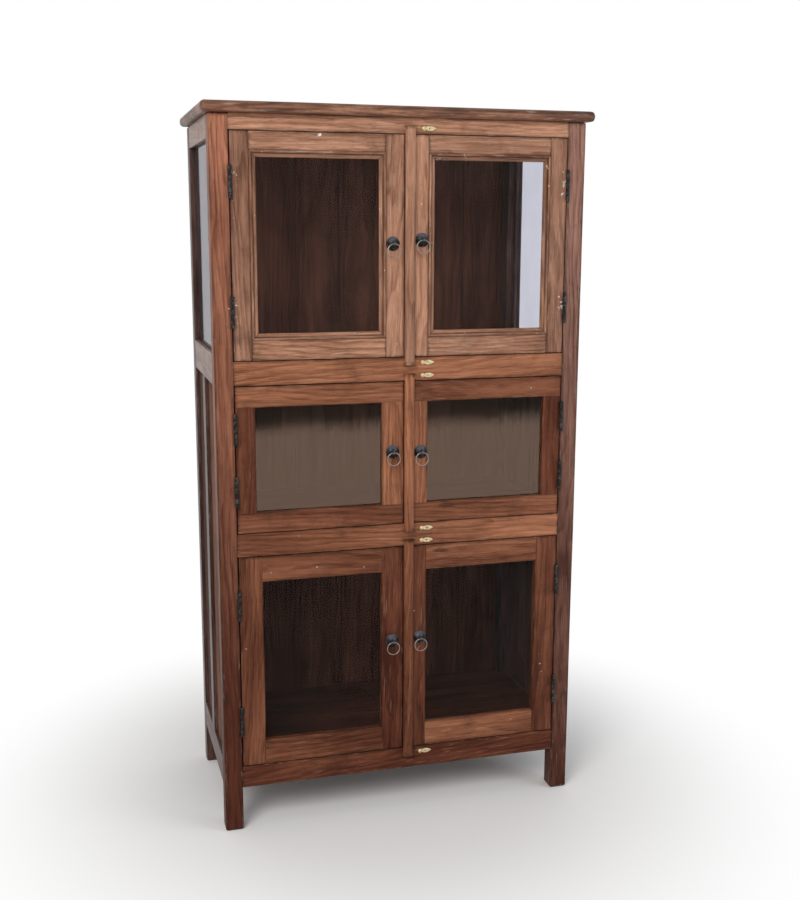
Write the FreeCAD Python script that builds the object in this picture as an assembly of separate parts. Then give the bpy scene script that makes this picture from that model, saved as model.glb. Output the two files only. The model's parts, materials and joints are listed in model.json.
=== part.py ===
import FreeCAD, Part
import math
import os

from FreeCAD import Vector

# A glazed display cabinet in joined hardwood, in millimetres.
# X runs to the right, the doors face -Y, Z is up, and the origin is under the middle of the whole object.

# Carcass, from the floor up
carcass_width = 935.0
carcass_depth = 460.0
foot_height = 115.0
bottom_rail_height = 56.0
lower_opening_height = 550.0
lower_rail_height = 58.0
middle_opening_height = 365.0
upper_rail_height = 58.0
upper_opening_height = 535.0
top_rail_height = 38.0
post_size = 45.0
post_arris = 1.5
cut_overrun = 10.0
full_turn = 360

# Top board
top_thickness = 25.0
top_side_overhang = 18.0
top_front_overhang = 20.0
top_edge_radius = 10.0
top_corner_radius = 14.0

# Front rails and their joints
front_rail_thickness = 30.0
front_tenon_thickness = 10.0
front_tenon_setback = 9.0
front_tenon_length = 25.0
tenon_shoulder = 10.0
tenon_clearance = 0.1
mortise_end_room = 1.0

# Side frames
side_rail_thickness = 22.0
side_top_rail_height = 57.0
side_middle_rail_height = 74.0
side_bottom_rail_height = 68.0
side_tenon_thickness = 8.0
side_tenon_inset = 6.0
side_tenon_length = 22.0
muntin_width = 50.0
muntin_tenon_length = 15.0
panel_thickness = 8.0
panel_recess = 10.0
panel_groove_depth = 8.0
panel_edge_room = 1.0
side_glass_recess = 12.0
side_glass_lap = 7.0
side_glass_edge_room = 0.5
side_bead_size = 8.0

# Back
back_rail_height = 40.0
back_rail_thickness = 20.0
back_tenon_thickness = 8.0
back_board_count = 7
back_board_thickness = 10.0
back_board_gap = 1.0
back_tongue_length = 5.0
back_tongue_thickness = 3.0
back_tongue_clearance = 0.2

# Shelves, whose front edges stand above the rails as door stops
shelf_thickness = 18.0
stop_height = 8.0
stop_gap = 0.5
shelf_clearance = 0.5

# Door leaves
door_thickness = 22.0
hinge_seam = 3.0
meeting_gap = 2.0
door_end_gap = 2.0
door_tenon_thickness = 7.0
door_tenon_length = 28.0
glass_thickness = 3.0
glass_lip = 10.0
glass_lip_thickness = 10.0
glass_edge_room = 1.0
upper_hinge_stile = 44.0
upper_left_meeting_stile = 46.0
upper_top_rail = 42.0
upper_bottom_rail = 48.0
middle_hinge_stile = 47.0
middle_left_meeting_stile = 55.0
middle_door_rail = 51.0
lower_hinge_stile = 58.0
lower_left_meeting_stile = 57.0
lower_door_rail = 64.0

# Moulded bead round the upper glass, and the plain bead behind the others
bead_width = 16.0
bead_round_radius = 3.0
bead_quirk_width = 1.5
bead_quirk_depth = 1.5
bead_sight_edge = 2.0
bead_sight_flat = 1.0
bead_swell_shares = (0.62, 0.22)
plain_bead_width = 9.0
plain_bead_chamfer = 3.0

# Astragal on the meeting edge of each right leaf
astragal_width = 25.0
astragal_depth = 13.0
astragal_side_height = 4.0
astragal_lap = 18.0
astragal_relief = 0.5

# Butt hinges
hinge_length = 75.0
hinge_knuckle_radius = 4.5
hinge_pin_radius = 2.5
hinge_pin_clearance = 0.05
hinge_pin_head_radius = 3.8
hinge_pin_head_height = 2.5
hinge_leaf_thickness = 2.0
hinge_leaf_gap = 0.4
hinge_leaf_reach = 18.0
hinge_face_clearance = 0.3
hinge_knuckle_gap = 0.3
hinge_swing_clearance = 0.5
upper_hinge_inset = 115.0
middle_hinge_inset = 103.0
lower_hinge_inset = 120.0

# Ring pulls
boss_radius = 17.0
boss_height = 11.0
boss_rim_height = 2.5
boss_edge_room = 0.5
left_boss_setback = 29.0
upper_left_boss_rise = 9.0
upper_right_boss_rise = 18.0
middle_left_boss_rise = 5.0
middle_right_boss_rise = 2.0
lower_left_boss_rise = 25.0
lower_right_boss_rise = 28.0
eye_reach = 15.0
eye_outer_radius = 4.6
eye_thickness = 4.0
ring_radius = 16.3
ring_wire_radius = 1.2
ring_eye_clearance = 0.3

# Turn buttons
button_tip_reach = 30.0
button_tail_radius = 5.5
button_width = 12.0
button_widest_reach = 14.0
button_neck_share = 0.58
button_thickness = 3.0
button_face_clearance = 0.3
button_pivot_setback = 13.0
button_offset = 47.0
button_hole_radius = 1.5
button_hole_reach = 13.0
screw_radius = 2.0
screw_clearance = 0.05
screw_depth = 14.0
screw_head_radius = 4.0
screw_head_height = 2.0

# Levels and faces worked out from the sizes above
pull_reach = eye_reach + eye_outer_radius
front_reach = max(top_front_overhang, pull_reach, astragal_depth)
front_y = (front_reach - carcass_depth) / 2
back_y = front_y + carcass_depth
half_width = carcass_width / 2
opening_half = half_width - post_size

bottom_rail_top = foot_height + bottom_rail_height
lower_rail_low = bottom_rail_top + lower_opening_height
lower_rail_top = lower_rail_low + lower_rail_height
upper_rail_low = lower_rail_top + middle_opening_height
upper_rail_top = upper_rail_low + upper_rail_height
top_rail_low = upper_rail_top + upper_opening_height
post_height = top_rail_low + top_rail_height

side_bottom_rail_z = (foot_height, foot_height + side_bottom_rail_height)
side_middle_rail_z = (upper_rail_low, upper_rail_low + side_middle_rail_height)
side_top_rail_z = (post_height - side_top_rail_height, post_height)
side_rail_levels = (side_bottom_rail_z, side_middle_rail_z, side_top_rail_z)
side_span_y = (front_y + post_size, back_y - post_size)
panel_z = (side_bottom_rail_z[1], side_middle_rail_z[0])

shelf_front_y = front_y + door_thickness + stop_gap
board_front_y = back_y - back_board_thickness
right_meeting_stile = astragal_width + 2 * boss_edge_room + 2 * boss_radius

front_rails = {
    "bottom_front_rail": (foot_height, bottom_rail_top),
    "lower_front_rail": (lower_rail_low, lower_rail_top),
    "upper_front_rail": (upper_rail_low, upper_rail_top),
    "top_front_rail": (top_rail_low, post_height),
}
shelf_levels = {
    "floor_board": bottom_rail_top + stop_height,
    "lower_shelf": lower_rail_top + stop_height,
    "upper_shelf": upper_rail_top + stop_height,
}
sides = {"left": -1, "right": 1}

# Each tier: its opening, the widths of its door members, whether the rails run through or the stiles do,
# whether moulded beads hold the glass, its hinge inset, and how far its bosses sit above the leaf's middle
tiers = {
    "upper": {
        "opening": (upper_rail_top, top_rail_low),
        "hinge_stile": upper_hinge_stile + glass_lip,
        "left_meeting_stile": upper_left_meeting_stile + glass_lip,
        "right_meeting_stile": right_meeting_stile + glass_lip,
        "top_rail": upper_top_rail + glass_lip,
        "bottom_rail": upper_bottom_rail + glass_lip,
        "rails_through": False,
        "moulded": True,
        "hinge_inset": upper_hinge_inset,
        "left_boss_rise": upper_left_boss_rise,
        "right_boss_rise": upper_right_boss_rise,
    },
    "middle": {
        "opening": (lower_rail_top, upper_rail_low),
        "hinge_stile": middle_hinge_stile,
        "left_meeting_stile": middle_left_meeting_stile,
        "right_meeting_stile": right_meeting_stile,
        "top_rail": middle_door_rail,
        "bottom_rail": middle_door_rail,
        "rails_through": True,
        "moulded": False,
        "hinge_inset": middle_hinge_inset,
        "left_boss_rise": middle_left_boss_rise,
        "right_boss_rise": middle_right_boss_rise,
    },
    "lower": {
        "opening": (bottom_rail_top, lower_rail_low),
        "hinge_stile": lower_hinge_stile,
        "left_meeting_stile": lower_left_meeting_stile,
        "right_meeting_stile": right_meeting_stile,
        "top_rail": lower_door_rail,
        "bottom_rail": lower_door_rail,
        "rails_through": False,
        "moulded": False,
        "hinge_inset": lower_hinge_inset,
        "left_boss_rise": lower_left_boss_rise,
        "right_boss_rise": lower_right_boss_rise,
    },
}


# Ranges and basic solids
def across(side, near, far):
    """The X range on one side of the cabinet, given as two distances from its middle."""
    return tuple(sorted((side * near, side * far)))


def grow(span, room):
    """A range made longer by the same room at both ends."""
    return (span[0] - room, span[1] + room)


def block(x, y, z):
    """A box from its three ranges."""
    return Part.makeBox(x[1] - x[0], y[1] - y[0], z[1] - z[0], Vector(x[0], y[0], z[0]))


def cylinder(radius, length, start, direction):
    return Part.makeCylinder(radius, length, start, direction)


def prism(points, sweep):
    """A closed outline of straight lines pushed along one direction."""
    outline = Part.makePolygon(points + points[:1])
    return Part.Face(outline).extrude(sweep)


def turned(edges, axis):
    """A closed outline turned about an axis through the origin, with its faces outwards."""
    solid = Part.Face(Part.Wire(edges)).revolve(Vector(0, 0, 0), axis, full_turn)
    if solid.Volume < 0:
        solid.reverse()
    return solid


def dome_middle(radius, rise):
    """The point half way up a spherical cap: its distance from the axis, and its height above the rim."""
    sphere = (radius ** 2 + rise ** 2) / (2 * rise)
    half_angle = math.asin(radius / sphere) / 2
    return sphere * math.sin(half_angle), rise - sphere * (1 - math.cos(half_angle))


def joined(body, *others):
    """One solid made of a body and the pieces that grow out of it."""
    for other in others:
        body = body.fuse(other)
    return body.removeSplitter()


def without(body, cuts):
    for cut in cuts:
        body = body.cut(cut)
    return body


# Tenons, each returned as its three ranges
def front_tenon(side, z):
    x = across(side, opening_half, opening_half + front_tenon_length)
    y = (front_y + front_tenon_setback, front_y + front_tenon_setback + front_tenon_thickness)
    return x, y, grow(z, -tenon_shoulder)


def back_tenon(side, z):
    x = across(side, opening_half, opening_half + front_tenon_length)
    middle_y = board_front_y - back_rail_thickness / 2
    y = (middle_y - back_tenon_thickness / 2, middle_y + back_tenon_thickness / 2)
    return x, y, grow(z, -tenon_shoulder)


def side_tenon_x(side):
    far = half_width - side_tenon_inset
    return across(side, far - side_tenon_thickness, far)


def side_tenon(side, at_front, z):
    if at_front:
        y = (side_span_y[0] - side_tenon_length, side_span_y[0])
    else:
        y = (side_span_y[1], side_span_y[1] + side_tenon_length)
    return side_tenon_x(side), y, grow(z, -tenon_shoulder)


def muntin_tenon(side, at_top):
    middle_y = sum(side_span_y) / 2
    half = muntin_width / 2 - panel_groove_depth - panel_edge_room
    y = (middle_y - half, middle_y + half)
    if at_top:
        z = (panel_z[1], panel_z[1] + muntin_tenon_length)
    else:
        z = (panel_z[0] - muntin_tenon_length, panel_z[0])
    return side_tenon_x(side), y, z


def mortise(ranges, along):
    """The hole for a tenon: a little clear all round, and deeper along the axis that the tenon enters on."""
    rooms = [mortise_end_room if axis == along else tenon_clearance for axis in "xyz"]
    return block(*[grow(span, room) for span, room in zip(ranges, rooms)])


# Side panels, their grooves, and the glass above them
def panel_x(side):
    far = half_width - panel_recess
    return across(side, far - panel_thickness, far)


def panel_bays():
    middle_y = sum(side_span_y) / 2
    return [(side_span_y[0], middle_y - muntin_width / 2), (middle_y + muntin_width / 2, side_span_y[1])]


def panel_groove(side, bay):
    return block(panel_x(side), grow(bay, panel_groove_depth), grow(panel_z, panel_groove_depth))


def side_panels():
    room = panel_groove_depth - panel_edge_room
    places = [(side, bay) for side in sides.values() for bay in panel_bays()]
    return [block(panel_x(side), grow(bay, room), grow(panel_z, room)) for side, bay in places]


def side_rebate_z():
    """From the step in the middle rail's upper edge to the one in the top rail's lower edge."""
    return side_middle_rail_z[1] - side_glass_lap, side_top_rail_z[0] + side_glass_lap


def side_rebate(side):
    """The steps in the rails, open to the inside, that a pane and its beads lie in."""
    x = across(side, half_width - side_rail_thickness - cut_overrun, half_width - side_glass_recess)
    return block(x, side_span_y, side_rebate_z())


def side_glass_ranges(side):
    far = half_width - side_glass_recess
    x = across(side, far - glass_thickness, far)
    return x, grow(side_span_y, -side_glass_edge_room), grow(side_rebate_z(), -side_glass_edge_room)


def side_glass():
    return [block(*side_glass_ranges(side)) for side in sides.values()]


def side_beads(side):
    """Square beads behind a side pane: two on the posts, and two between them."""
    far = half_width - side_glass_recess - glass_thickness
    x = across(side, far - side_bead_size, far)
    z = side_rebate_z()
    inner_y = grow(side_span_y, -side_bead_size)
    return [
        block(x, (side_span_y[0], inner_y[0]), z),
        block(x, (inner_y[1], side_span_y[1]), z),
        block(x, inner_y, (z[0], z[0] + side_bead_size)),
        block(x, inner_y, (z[1] - side_bead_size, z[1])),
    ]


def side_rail(side, z):
    x = across(side, half_width - side_rail_thickness, half_width)
    tenons = [block(*side_tenon(side, at_front, z)) for at_front in (True, False)]
    rail = joined(block(x, side_span_y, z), *tenons)
    grooves = [panel_groove(side, bay) for bay in panel_bays()]
    mortises = [mortise(muntin_tenon(side, at_top), "z") for at_top in (True, False)]
    return without(rail, grooves + mortises + [side_rebate(side)])


def side_muntin(side):
    x = across(side, half_width - side_rail_thickness, half_width)
    middle_y = sum(side_span_y) / 2
    body = block(x, (middle_y - muntin_width / 2, middle_y + muntin_width / 2), panel_z)
    tenons = [block(*muntin_tenon(side, at_top)) for at_top in (True, False)]
    grooves = [block(panel_x(side), grow(bay, panel_groove_depth), panel_z) for bay in panel_bays()]
    return joined(without(body, grooves), *tenons)


def side_frame(side):
    rails = [side_rail(side, z) for z in side_rail_levels]
    return rails + [side_muntin(side)] + side_beads(side)


# Hinges
def hinge_axis(side):
    """The pin's X and Y: in the middle of the seam, with the barrel just clear of the door's face."""
    return side * (opening_half - hinge_seam / 2), front_y - hinge_knuckle_radius - hinge_face_clearance


def hinge_levels(tier):
    """The two middles of a leaf's hinges."""
    low, high = door_z(tier)
    return (low + tiers[tier]["hinge_inset"], high - tiers[tier]["hinge_inset"])


def hinge_plate_x(side, outward):
    """The X range of a hinge plate: outward on the post, else on the door."""
    middle = opening_half - hinge_seam / 2
    near = hinge_leaf_gap / 2
    far = near + hinge_leaf_thickness
    if outward:
        return across(side, middle + near, middle + far)
    return across(side, middle - far, middle - near)


def hinge_gain(side, outward, level):
    """The shallow recess that a hinge plate is let into."""
    z = (level - hinge_length / 2, level + hinge_length / 2)
    return block(hinge_plate_x(side, outward), (front_y - cut_overrun, front_y + hinge_leaf_reach), z)


def hinge_knuckles(level):
    """The Z ranges of the lower, middle and upper knuckle, with a gap between each two."""
    knuckle = (hinge_length - 2 * hinge_knuckle_gap) / 3
    lows = [level - hinge_length / 2 + (knuckle + hinge_knuckle_gap) * i for i in range(3)]
    return [(low, low + knuckle) for low in lows]


def hinge_leaf(side, outward, level):
    """A plate with its knuckles: the post's leaf has the outer two, the door's leaf the middle one."""
    axis_x, axis_y = hinge_axis(side)
    up = Vector(0, 0, 1)
    own = hinge_knuckles(level)[0::2] if outward else hinge_knuckles(level)[1:2]
    other = hinge_knuckles(level)[1:2] if outward else hinge_knuckles(level)[0::2]
    z = (level - hinge_length / 2, level + hinge_length / 2)
    plate = block(hinge_plate_x(side, outward), (axis_y, front_y + hinge_leaf_reach), z)
    swing_radius = hinge_knuckle_radius + hinge_swing_clearance
    for low, high in [grow(span, hinge_knuckle_gap) for span in other]:
        plate = plate.cut(cylinder(swing_radius, high - low, Vector(axis_x, axis_y, low), up))
    barrels = []
    for low, high in own:
        barrels.append(cylinder(hinge_knuckle_radius, high - low, Vector(axis_x, axis_y, low), up))
    bore_start = Vector(axis_x, axis_y, z[0] - cut_overrun)
    bore = cylinder(hinge_pin_radius + hinge_pin_clearance, hinge_length + 2 * cut_overrun, bore_start, up)
    return joined(plate, *barrels).cut(bore)


def hinge_pin(side, level):
    """A pin with a low domed head that rests on the upper knuckle."""
    axis_x, axis_y = hinge_axis(side)
    low = level - hinge_length / 2
    high = hinge_knuckles(level)[2][1]
    shank = cylinder(hinge_pin_radius, high - low, Vector(axis_x, axis_y, low), Vector(0, 0, 1))
    middle_x, middle_z = dome_middle(hinge_pin_head_radius, hinge_pin_head_height)
    rim = Vector(hinge_pin_head_radius, 0, 0)
    crown = Vector(0, 0, hinge_pin_head_height)
    edges = [
        Part.Arc(rim, Vector(middle_x, 0, middle_z), crown).toShape(),
        Part.makeLine(crown, Vector(0, 0, 0)),
        Part.makeLine(Vector(0, 0, 0), rim),
    ]
    head = turned(edges, Vector(0, 0, 1))
    head.translate(Vector(axis_x, axis_y, high))
    return joined(shank, head)


# Carcass
def post(side, at_front):
    x = across(side, opening_half, half_width)
    y = (front_y, side_span_y[0]) if at_front else (side_span_y[1], back_y)
    outer_x = side * half_width
    body = block(x, y, (0, post_height))
    corner_y = front_y if at_front else back_y
    edges = [
        edge for edge in body.Edges
        if abs(edge.BoundBox.ZLength - post_height) < tenon_clearance
        and abs(edge.CenterOfMass.x - outer_x) < tenon_clearance
        and abs(edge.CenterOfMass.y - corner_y) < tenon_clearance
    ]
    body = body.makeChamfer(post_arris, edges)
    cuts = [mortise(side_tenon(side, at_front, z), "y") for z in side_rail_levels]
    cuts += [panel_groove(side, bay) for bay in panel_bays()]
    if at_front:
        cuts += [mortise(front_tenon(side, z), "x") for z in front_rails.values()]
        cuts += [hinge_gain(side, True, level) for tier in tiers for level in hinge_levels(tier)]
    else:
        cuts += [mortise(back_tenon(side, z), "x") for z in back_rail_levels()]
    return without(body, cuts)


def front_rail(name):
    z = front_rails[name]
    x = (-opening_half, opening_half)
    tenons = [block(*front_tenon(side, z)) for side in sides.values()]
    rail = joined(block(x, (front_y, front_y + front_rail_thickness), z), *tenons)
    cuts = [screw_shank(pivot) for pivot in button_pivots().values()]
    if name != "top_front_rail":
        rebate_y = (shelf_front_y, front_y + front_rail_thickness + cut_overrun)
        rebate_z = (z[1] + stop_height - shelf_thickness, z[1] + cut_overrun)
        cuts.append(block(x, rebate_y, rebate_z))
    return without(rail, cuts)


def back_rail_levels():
    """The Z ranges of the back rails: one under each shelf, and one under the top."""
    tops = [level - shelf_thickness for level in shelf_levels.values()] + [post_height]
    return [(top - back_rail_height, top) for top in tops]


def back_rails():
    y = (board_front_y - back_rail_thickness, board_front_y)
    rails = []
    for z in back_rail_levels():
        tenons = [block(*back_tenon(side, z)) for side in sides.values()]
        rails.append(joined(block((-opening_half, opening_half), y, z), *tenons))
    return rails


def shelf(top):
    half_length = half_width - side_rail_thickness - shelf_clearance
    z = (top - shelf_thickness, top)
    board = block((-half_length, half_length), (shelf_front_y, board_front_y - shelf_clearance), z)
    notches = []
    for side in sides.values():
        x = across(side, opening_half - shelf_clearance, half_width)
        notches.append(block(x, (front_y, side_span_y[0] + shelf_clearance), z))
        notches.append(block(x, (side_span_y[1] - shelf_clearance, back_y), z))
    return without(board, notches)


def back_boards():
    """Upright boards joined by tongues and grooves."""
    pitch = 2 * (opening_half - shelf_clearance) / back_board_count
    middle_y = back_y - back_board_thickness / 2
    z = (foot_height, post_height)
    groove_half = back_tongue_thickness / 2 + back_tongue_clearance
    tongue_half = back_tongue_thickness / 2
    boards = []
    for i in range(back_board_count):
        low = -opening_half + shelf_clearance + pitch * i
        high = low + pitch - (back_board_gap if i < back_board_count - 1 else 0)
        board = block((low, high), (board_front_y, back_y), z)
        if i > 0:
            groove_x = (low - cut_overrun, low + back_tongue_length)
            board = board.cut(block(groove_x, (middle_y - groove_half, middle_y + groove_half), z))
        if i < back_board_count - 1:
            tongue_x = (high, high + back_board_gap + back_tongue_length - back_tongue_clearance)
            board = joined(board, block(tongue_x, (middle_y - tongue_half, middle_y + tongue_half), z))
        boards.append(board)
    return boards


def top_board():
    """A board with rounded front corners, and with its front and side edges rounded above and below."""
    x = (-half_width - top_side_overhang, half_width + top_side_overhang)
    y = (front_y - top_front_overhang, back_y)
    board = block(x, y, (post_height, post_height + top_thickness))
    upright = [
        edge for edge in board.Edges
        if abs(edge.BoundBox.ZLength - top_thickness) < tenon_clearance and edge.CenterOfMass.y < front_y
    ]
    board = board.makeFillet(top_corner_radius, upright)
    level = [
        edge for edge in board.Edges
        if edge.BoundBox.ZLength < tenon_clearance and edge.BoundBox.YMin < back_y - tenon_clearance
    ]
    return board.makeFillet(top_edge_radius, level)


# Doors
def door_x(side):
    return across(side, meeting_gap / 2, opening_half - hinge_seam)


def door_z(tier):
    return grow(tiers[tier]["opening"], -door_end_gap)


def door_light(tier, side_name):
    """The X and Z ranges of the hole in a door's frame."""
    sizes = tiers[tier]
    near = meeting_gap / 2 + sizes[side_name + "_meeting_stile"]
    far = opening_half - hinge_seam - sizes["hinge_stile"]
    low, high = door_z(tier)
    return across(sides[side_name], near, far), (low + sizes["bottom_rail"], high - sizes["top_rail"])


def edges_of(whole, hole):
    """The two ranges that are left of a range beside a hole in it."""
    return [(whole[0], hole[0]), (hole[1], whole[1])]


def door_frame(tier, side_name):
    """Two members that run through, rebated for the glass from end to end, and two tenoned between them.
    The short members have one long shoulder each end, which fills the rebate of the member that it meets."""
    side = sides[side_name]
    light_x, light_z = door_light(tier, side_name)
    upright = (door_z(tier), light_z)
    level = (door_x(side), light_x)
    along, cross = (level, upright) if tiers[tier]["rails_through"] else (upright, level)
    along_open, cross_open = grow(along[1], glass_lip), grow(cross[1], glass_lip)
    y = (front_y, front_y + door_thickness)
    if tiers[tier]["moulded"]:
        rebate_y = (y[0], y[1] - glass_lip_thickness)
    else:
        rebate_y = (y[0] + glass_lip_thickness, y[1])

    def plate(along_span, depth, cross_span):
        if tiers[tier]["rails_through"]:
            return block(along_span, depth, cross_span)
        return block(cross_span, depth, along_span)

    middle_y = front_y + door_thickness / 2
    tenon_y = (middle_y - door_tenon_thickness / 2, middle_y + door_tenon_thickness / 2)
    tenon_ends = edges_of(grow(cross[1], door_tenon_length), cross[1])
    short_members = []
    mortises = []
    for width, shoulder in zip(edges_of(*along), edges_of(along[0], along_open)):
        tenon_width = grow(width, -glass_lip - mortise_end_room)
        tenons = [plate(tenon_width, tenon_y, end) for end in tenon_ends]
        body = joined(plate(width, y, cross[1]), plate(shoulder, rebate_y, cross_open), *tenons)
        short_members.append(body.cut(plate(along_open, rebate_y, cross_open)))
        hole = (grow(tenon_width, tenon_clearance), grow(tenon_y, tenon_clearance))
        mortises += [plate(*hole, grow(end, mortise_end_room)) for end in tenon_ends]
    rebate = plate(along[0], rebate_y, cross_open)
    through_members = [without(plate(along[0], y, edge), [rebate] + mortises) for edge in edges_of(*cross)]
    gains = [hinge_gain(side, False, level) for level in hinge_levels(tier)]
    return [without(member, gains) for member in through_members + short_members]


def bead_line(start, points):
    """The edges of a bead's outline: each entry is a corner, or an arc's middle and end."""
    edges = []
    for entry in points:
        if len(entry) == 2:
            edges.append(Part.Arc(start, entry[0], entry[1]).toShape())
        else:
            edges.append(Part.makeLine(start, entry[0]))
        start = entry[-1]
    return edges


def moulded_outline(at):
    """A round bead, a quirk and a swelling slope down to the glass, drawn from the outer edge inwards."""
    seat = door_thickness - glass_lip_thickness - glass_thickness
    round_end = 2 * bead_round_radius
    quirk_end = round_end + bead_quirk_width
    slope_end = bead_width - bead_sight_flat
    slope_low = seat - bead_sight_edge
    swell_u = quirk_end + (slope_end - quirk_end) * bead_swell_shares[0]
    swell_v = bead_quirk_depth + (slope_low - bead_quirk_depth) * bead_swell_shares[1]
    points = [
        (at(0, 0),),
        (at(bead_round_radius, -bead_round_radius), at(round_end, 0)),
        (at(round_end, bead_quirk_depth),),
        (at(quirk_end, bead_quirk_depth),),
        (at(swell_u, swell_v), at(slope_end, slope_low)),
        (at(bead_width, slope_low),),
        (at(bead_width, seat),),
        (at(0, seat),),
    ]
    return bead_line(at(0, seat), points)


def plain_outline(at):
    """A square bead with one chamfered corner, from the back of the glass to the back of the door."""
    seat = glass_lip_thickness + glass_thickness
    chamfer_v = door_thickness - plain_bead_chamfer
    chamfer_u = plain_bead_width - plain_bead_chamfer
    points = [
        (at(0, door_thickness),),
        (at(chamfer_u, door_thickness),),
        (at(plain_bead_width, chamfer_v),),
        (at(plain_bead_width, seat),),
        (at(0, seat),),
    ]
    return bead_line(at(0, seat), points)


def mitred_bead(outline, width, start, along, inward, length):
    """One bead, cut at both ends so that it meets its neighbours on a mitre."""
    def at(u, v):
        return start + inward * u + Vector(0, v, 0)

    strip = Part.Face(Part.Wire(outline(at))).extrude(along * length)
    front = at(0, -cut_overrun)
    corners = [
        front,
        front + along * length,
        front + along * (length - width) + inward * width,
        front + along * width + inward * width,
    ]
    return strip.common(prism(corners, Vector(0, 2 * cut_overrun + door_thickness, 0)))


def door_beads(tier, side_name):
    """Four beads mitred round the glass, lying in the rebate."""
    light_x, light_z = door_light(tier, side_name)
    x, z = grow(light_x, glass_lip), grow(light_z, glass_lip)
    outline = moulded_outline if tiers[tier]["moulded"] else plain_outline
    width = bead_width if tiers[tier]["moulded"] else plain_bead_width
    right, up = Vector(1, 0, 0), Vector(0, 0, 1)
    runs = [
        (Vector(x[0], front_y, z[0]), right, up, x[1] - x[0]),
        (Vector(x[0], front_y, z[1]), right, -up, x[1] - x[0]),
        (Vector(x[0], front_y, z[0]), up, right, z[1] - z[0]),
        (Vector(x[1], front_y, z[0]), up, -right, z[1] - z[0]),
    ]
    return [mitred_bead(outline, width, *run) for run in runs]


def door_glass(tier, side_name):
    light_x, light_z = door_light(tier, side_name)
    room = glass_lip - glass_edge_room
    if tiers[tier]["moulded"]:
        back = front_y + door_thickness - glass_lip_thickness
        y = (back - glass_thickness, back)
    else:
        y = (front_y + glass_lip_thickness, front_y + glass_lip_thickness + glass_thickness)
    return block(grow(light_x, room), y, grow(light_z, room))


def astragal(tier):
    """A round-fronted strip on the right leaf's meeting edge, relieved where it runs on over the rails."""
    z = door_z(tier)
    reach = astragal_lap + door_end_gap
    low = meeting_gap / 2
    high = low + astragal_width
    bottom = z[0] - reach
    corners = [Vector(low, front_y, bottom), Vector(low, front_y - astragal_side_height, bottom)]
    corners += [Vector(high, front_y - astragal_side_height, bottom), Vector(high, front_y, bottom)]
    crown = Vector((low + high) / 2, front_y - astragal_depth, bottom)
    edges = [
        Part.makeLine(corners[0], corners[1]),
        Part.Arc(corners[1], crown, corners[2]).toShape(),
        Part.makeLine(corners[2], corners[3]),
        Part.makeLine(corners[3], corners[0]),
    ]
    strip = Part.Face(Part.Wire(edges)).extrude(Vector(0, 0, z[1] - z[0] + 2 * reach))
    relief_x, relief_y = grow((low, high), cut_overrun), (front_y - astragal_relief, front_y + cut_overrun)
    reliefs = [
        block(relief_x, relief_y, (bottom - cut_overrun, z[0])),
        block(relief_x, relief_y, (z[1], z[1] + reach + cut_overrun)),
    ]
    return without(strip, reliefs)


# Ring pulls
def boss_place(tier, side_name):
    """The X and Z of a boss on its meeting stile, a little above the leaf's middle."""
    z = sum(door_z(tier)) / 2 + tiers[tier][side_name + "_boss_rise"]
    if side_name == "left":
        return -meeting_gap / 2 - left_boss_setback, z
    return meeting_gap / 2 + astragal_width + boss_edge_room + boss_radius, z


def pull_boss(tier, side_name):
    """A dome turned on the door's face, with an eye standing out of its middle."""
    x, z = boss_place(tier, side_name)
    middle_x, middle_rise = dome_middle(boss_radius, boss_height - boss_rim_height)
    rim = Vector(boss_radius, -boss_rim_height, 0)
    crown = Vector(0, -boss_height, 0)
    edges = [
        Part.makeLine(Vector(0, 0, 0), Vector(boss_radius, 0, 0)),
        Part.makeLine(Vector(boss_radius, 0, 0), rim),
        Part.Arc(rim, Vector(middle_x, -boss_rim_height - middle_rise, 0), crown).toShape(),
        Part.makeLine(crown, Vector(0, 0, 0)),
    ]
    dome = turned(edges, Vector(0, 1, 0))
    half = eye_thickness / 2
    across_x = Vector(1, 0, 0)
    lug = block((-half, half), (-eye_reach, -boss_rim_height), (-eye_outer_radius, eye_outer_radius))
    nose = cylinder(eye_outer_radius, eye_thickness, Vector(-half, -eye_reach, 0), across_x)
    hole_radius = ring_wire_radius + ring_eye_clearance
    hole_start = Vector(-half - cut_overrun, -eye_reach, 0)
    hole = cylinder(hole_radius, eye_thickness + 2 * cut_overrun, hole_start, across_x)
    boss = joined(dome, lug, nose).cut(hole)
    boss.translate(Vector(x, front_y, z))
    return boss


def pull_ring(tier, side_name):
    """A round wire ring that hangs through the eye, in a plane parallel to the door."""
    x, z = boss_place(tier, side_name)
    centre = Vector(x, front_y - eye_reach, z - ring_radius)
    return Part.makeTorus(ring_radius, ring_wire_radius, centre, Vector(0, 1, 0))


# Turn buttons
def button_pivots():
    """The X and Z of each turn button's screw, on the rails above and below the right leaves."""
    pivots = {}
    for tier in tiers:
        low, high = tiers[tier]["opening"]
        pivots[tier + "_door_top_turn_button"] = (button_offset, high + button_pivot_setback)
        pivots[tier + "_door_bottom_turn_button"] = (button_offset, low - button_pivot_setback)
    return pivots


def screw_shank(pivot):
    length = screw_depth + button_thickness + 2 * button_face_clearance
    start = Vector(pivot[0], front_y + screw_depth, pivot[1])
    return cylinder(screw_radius, length, start, Vector(0, -1, 0))


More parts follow.
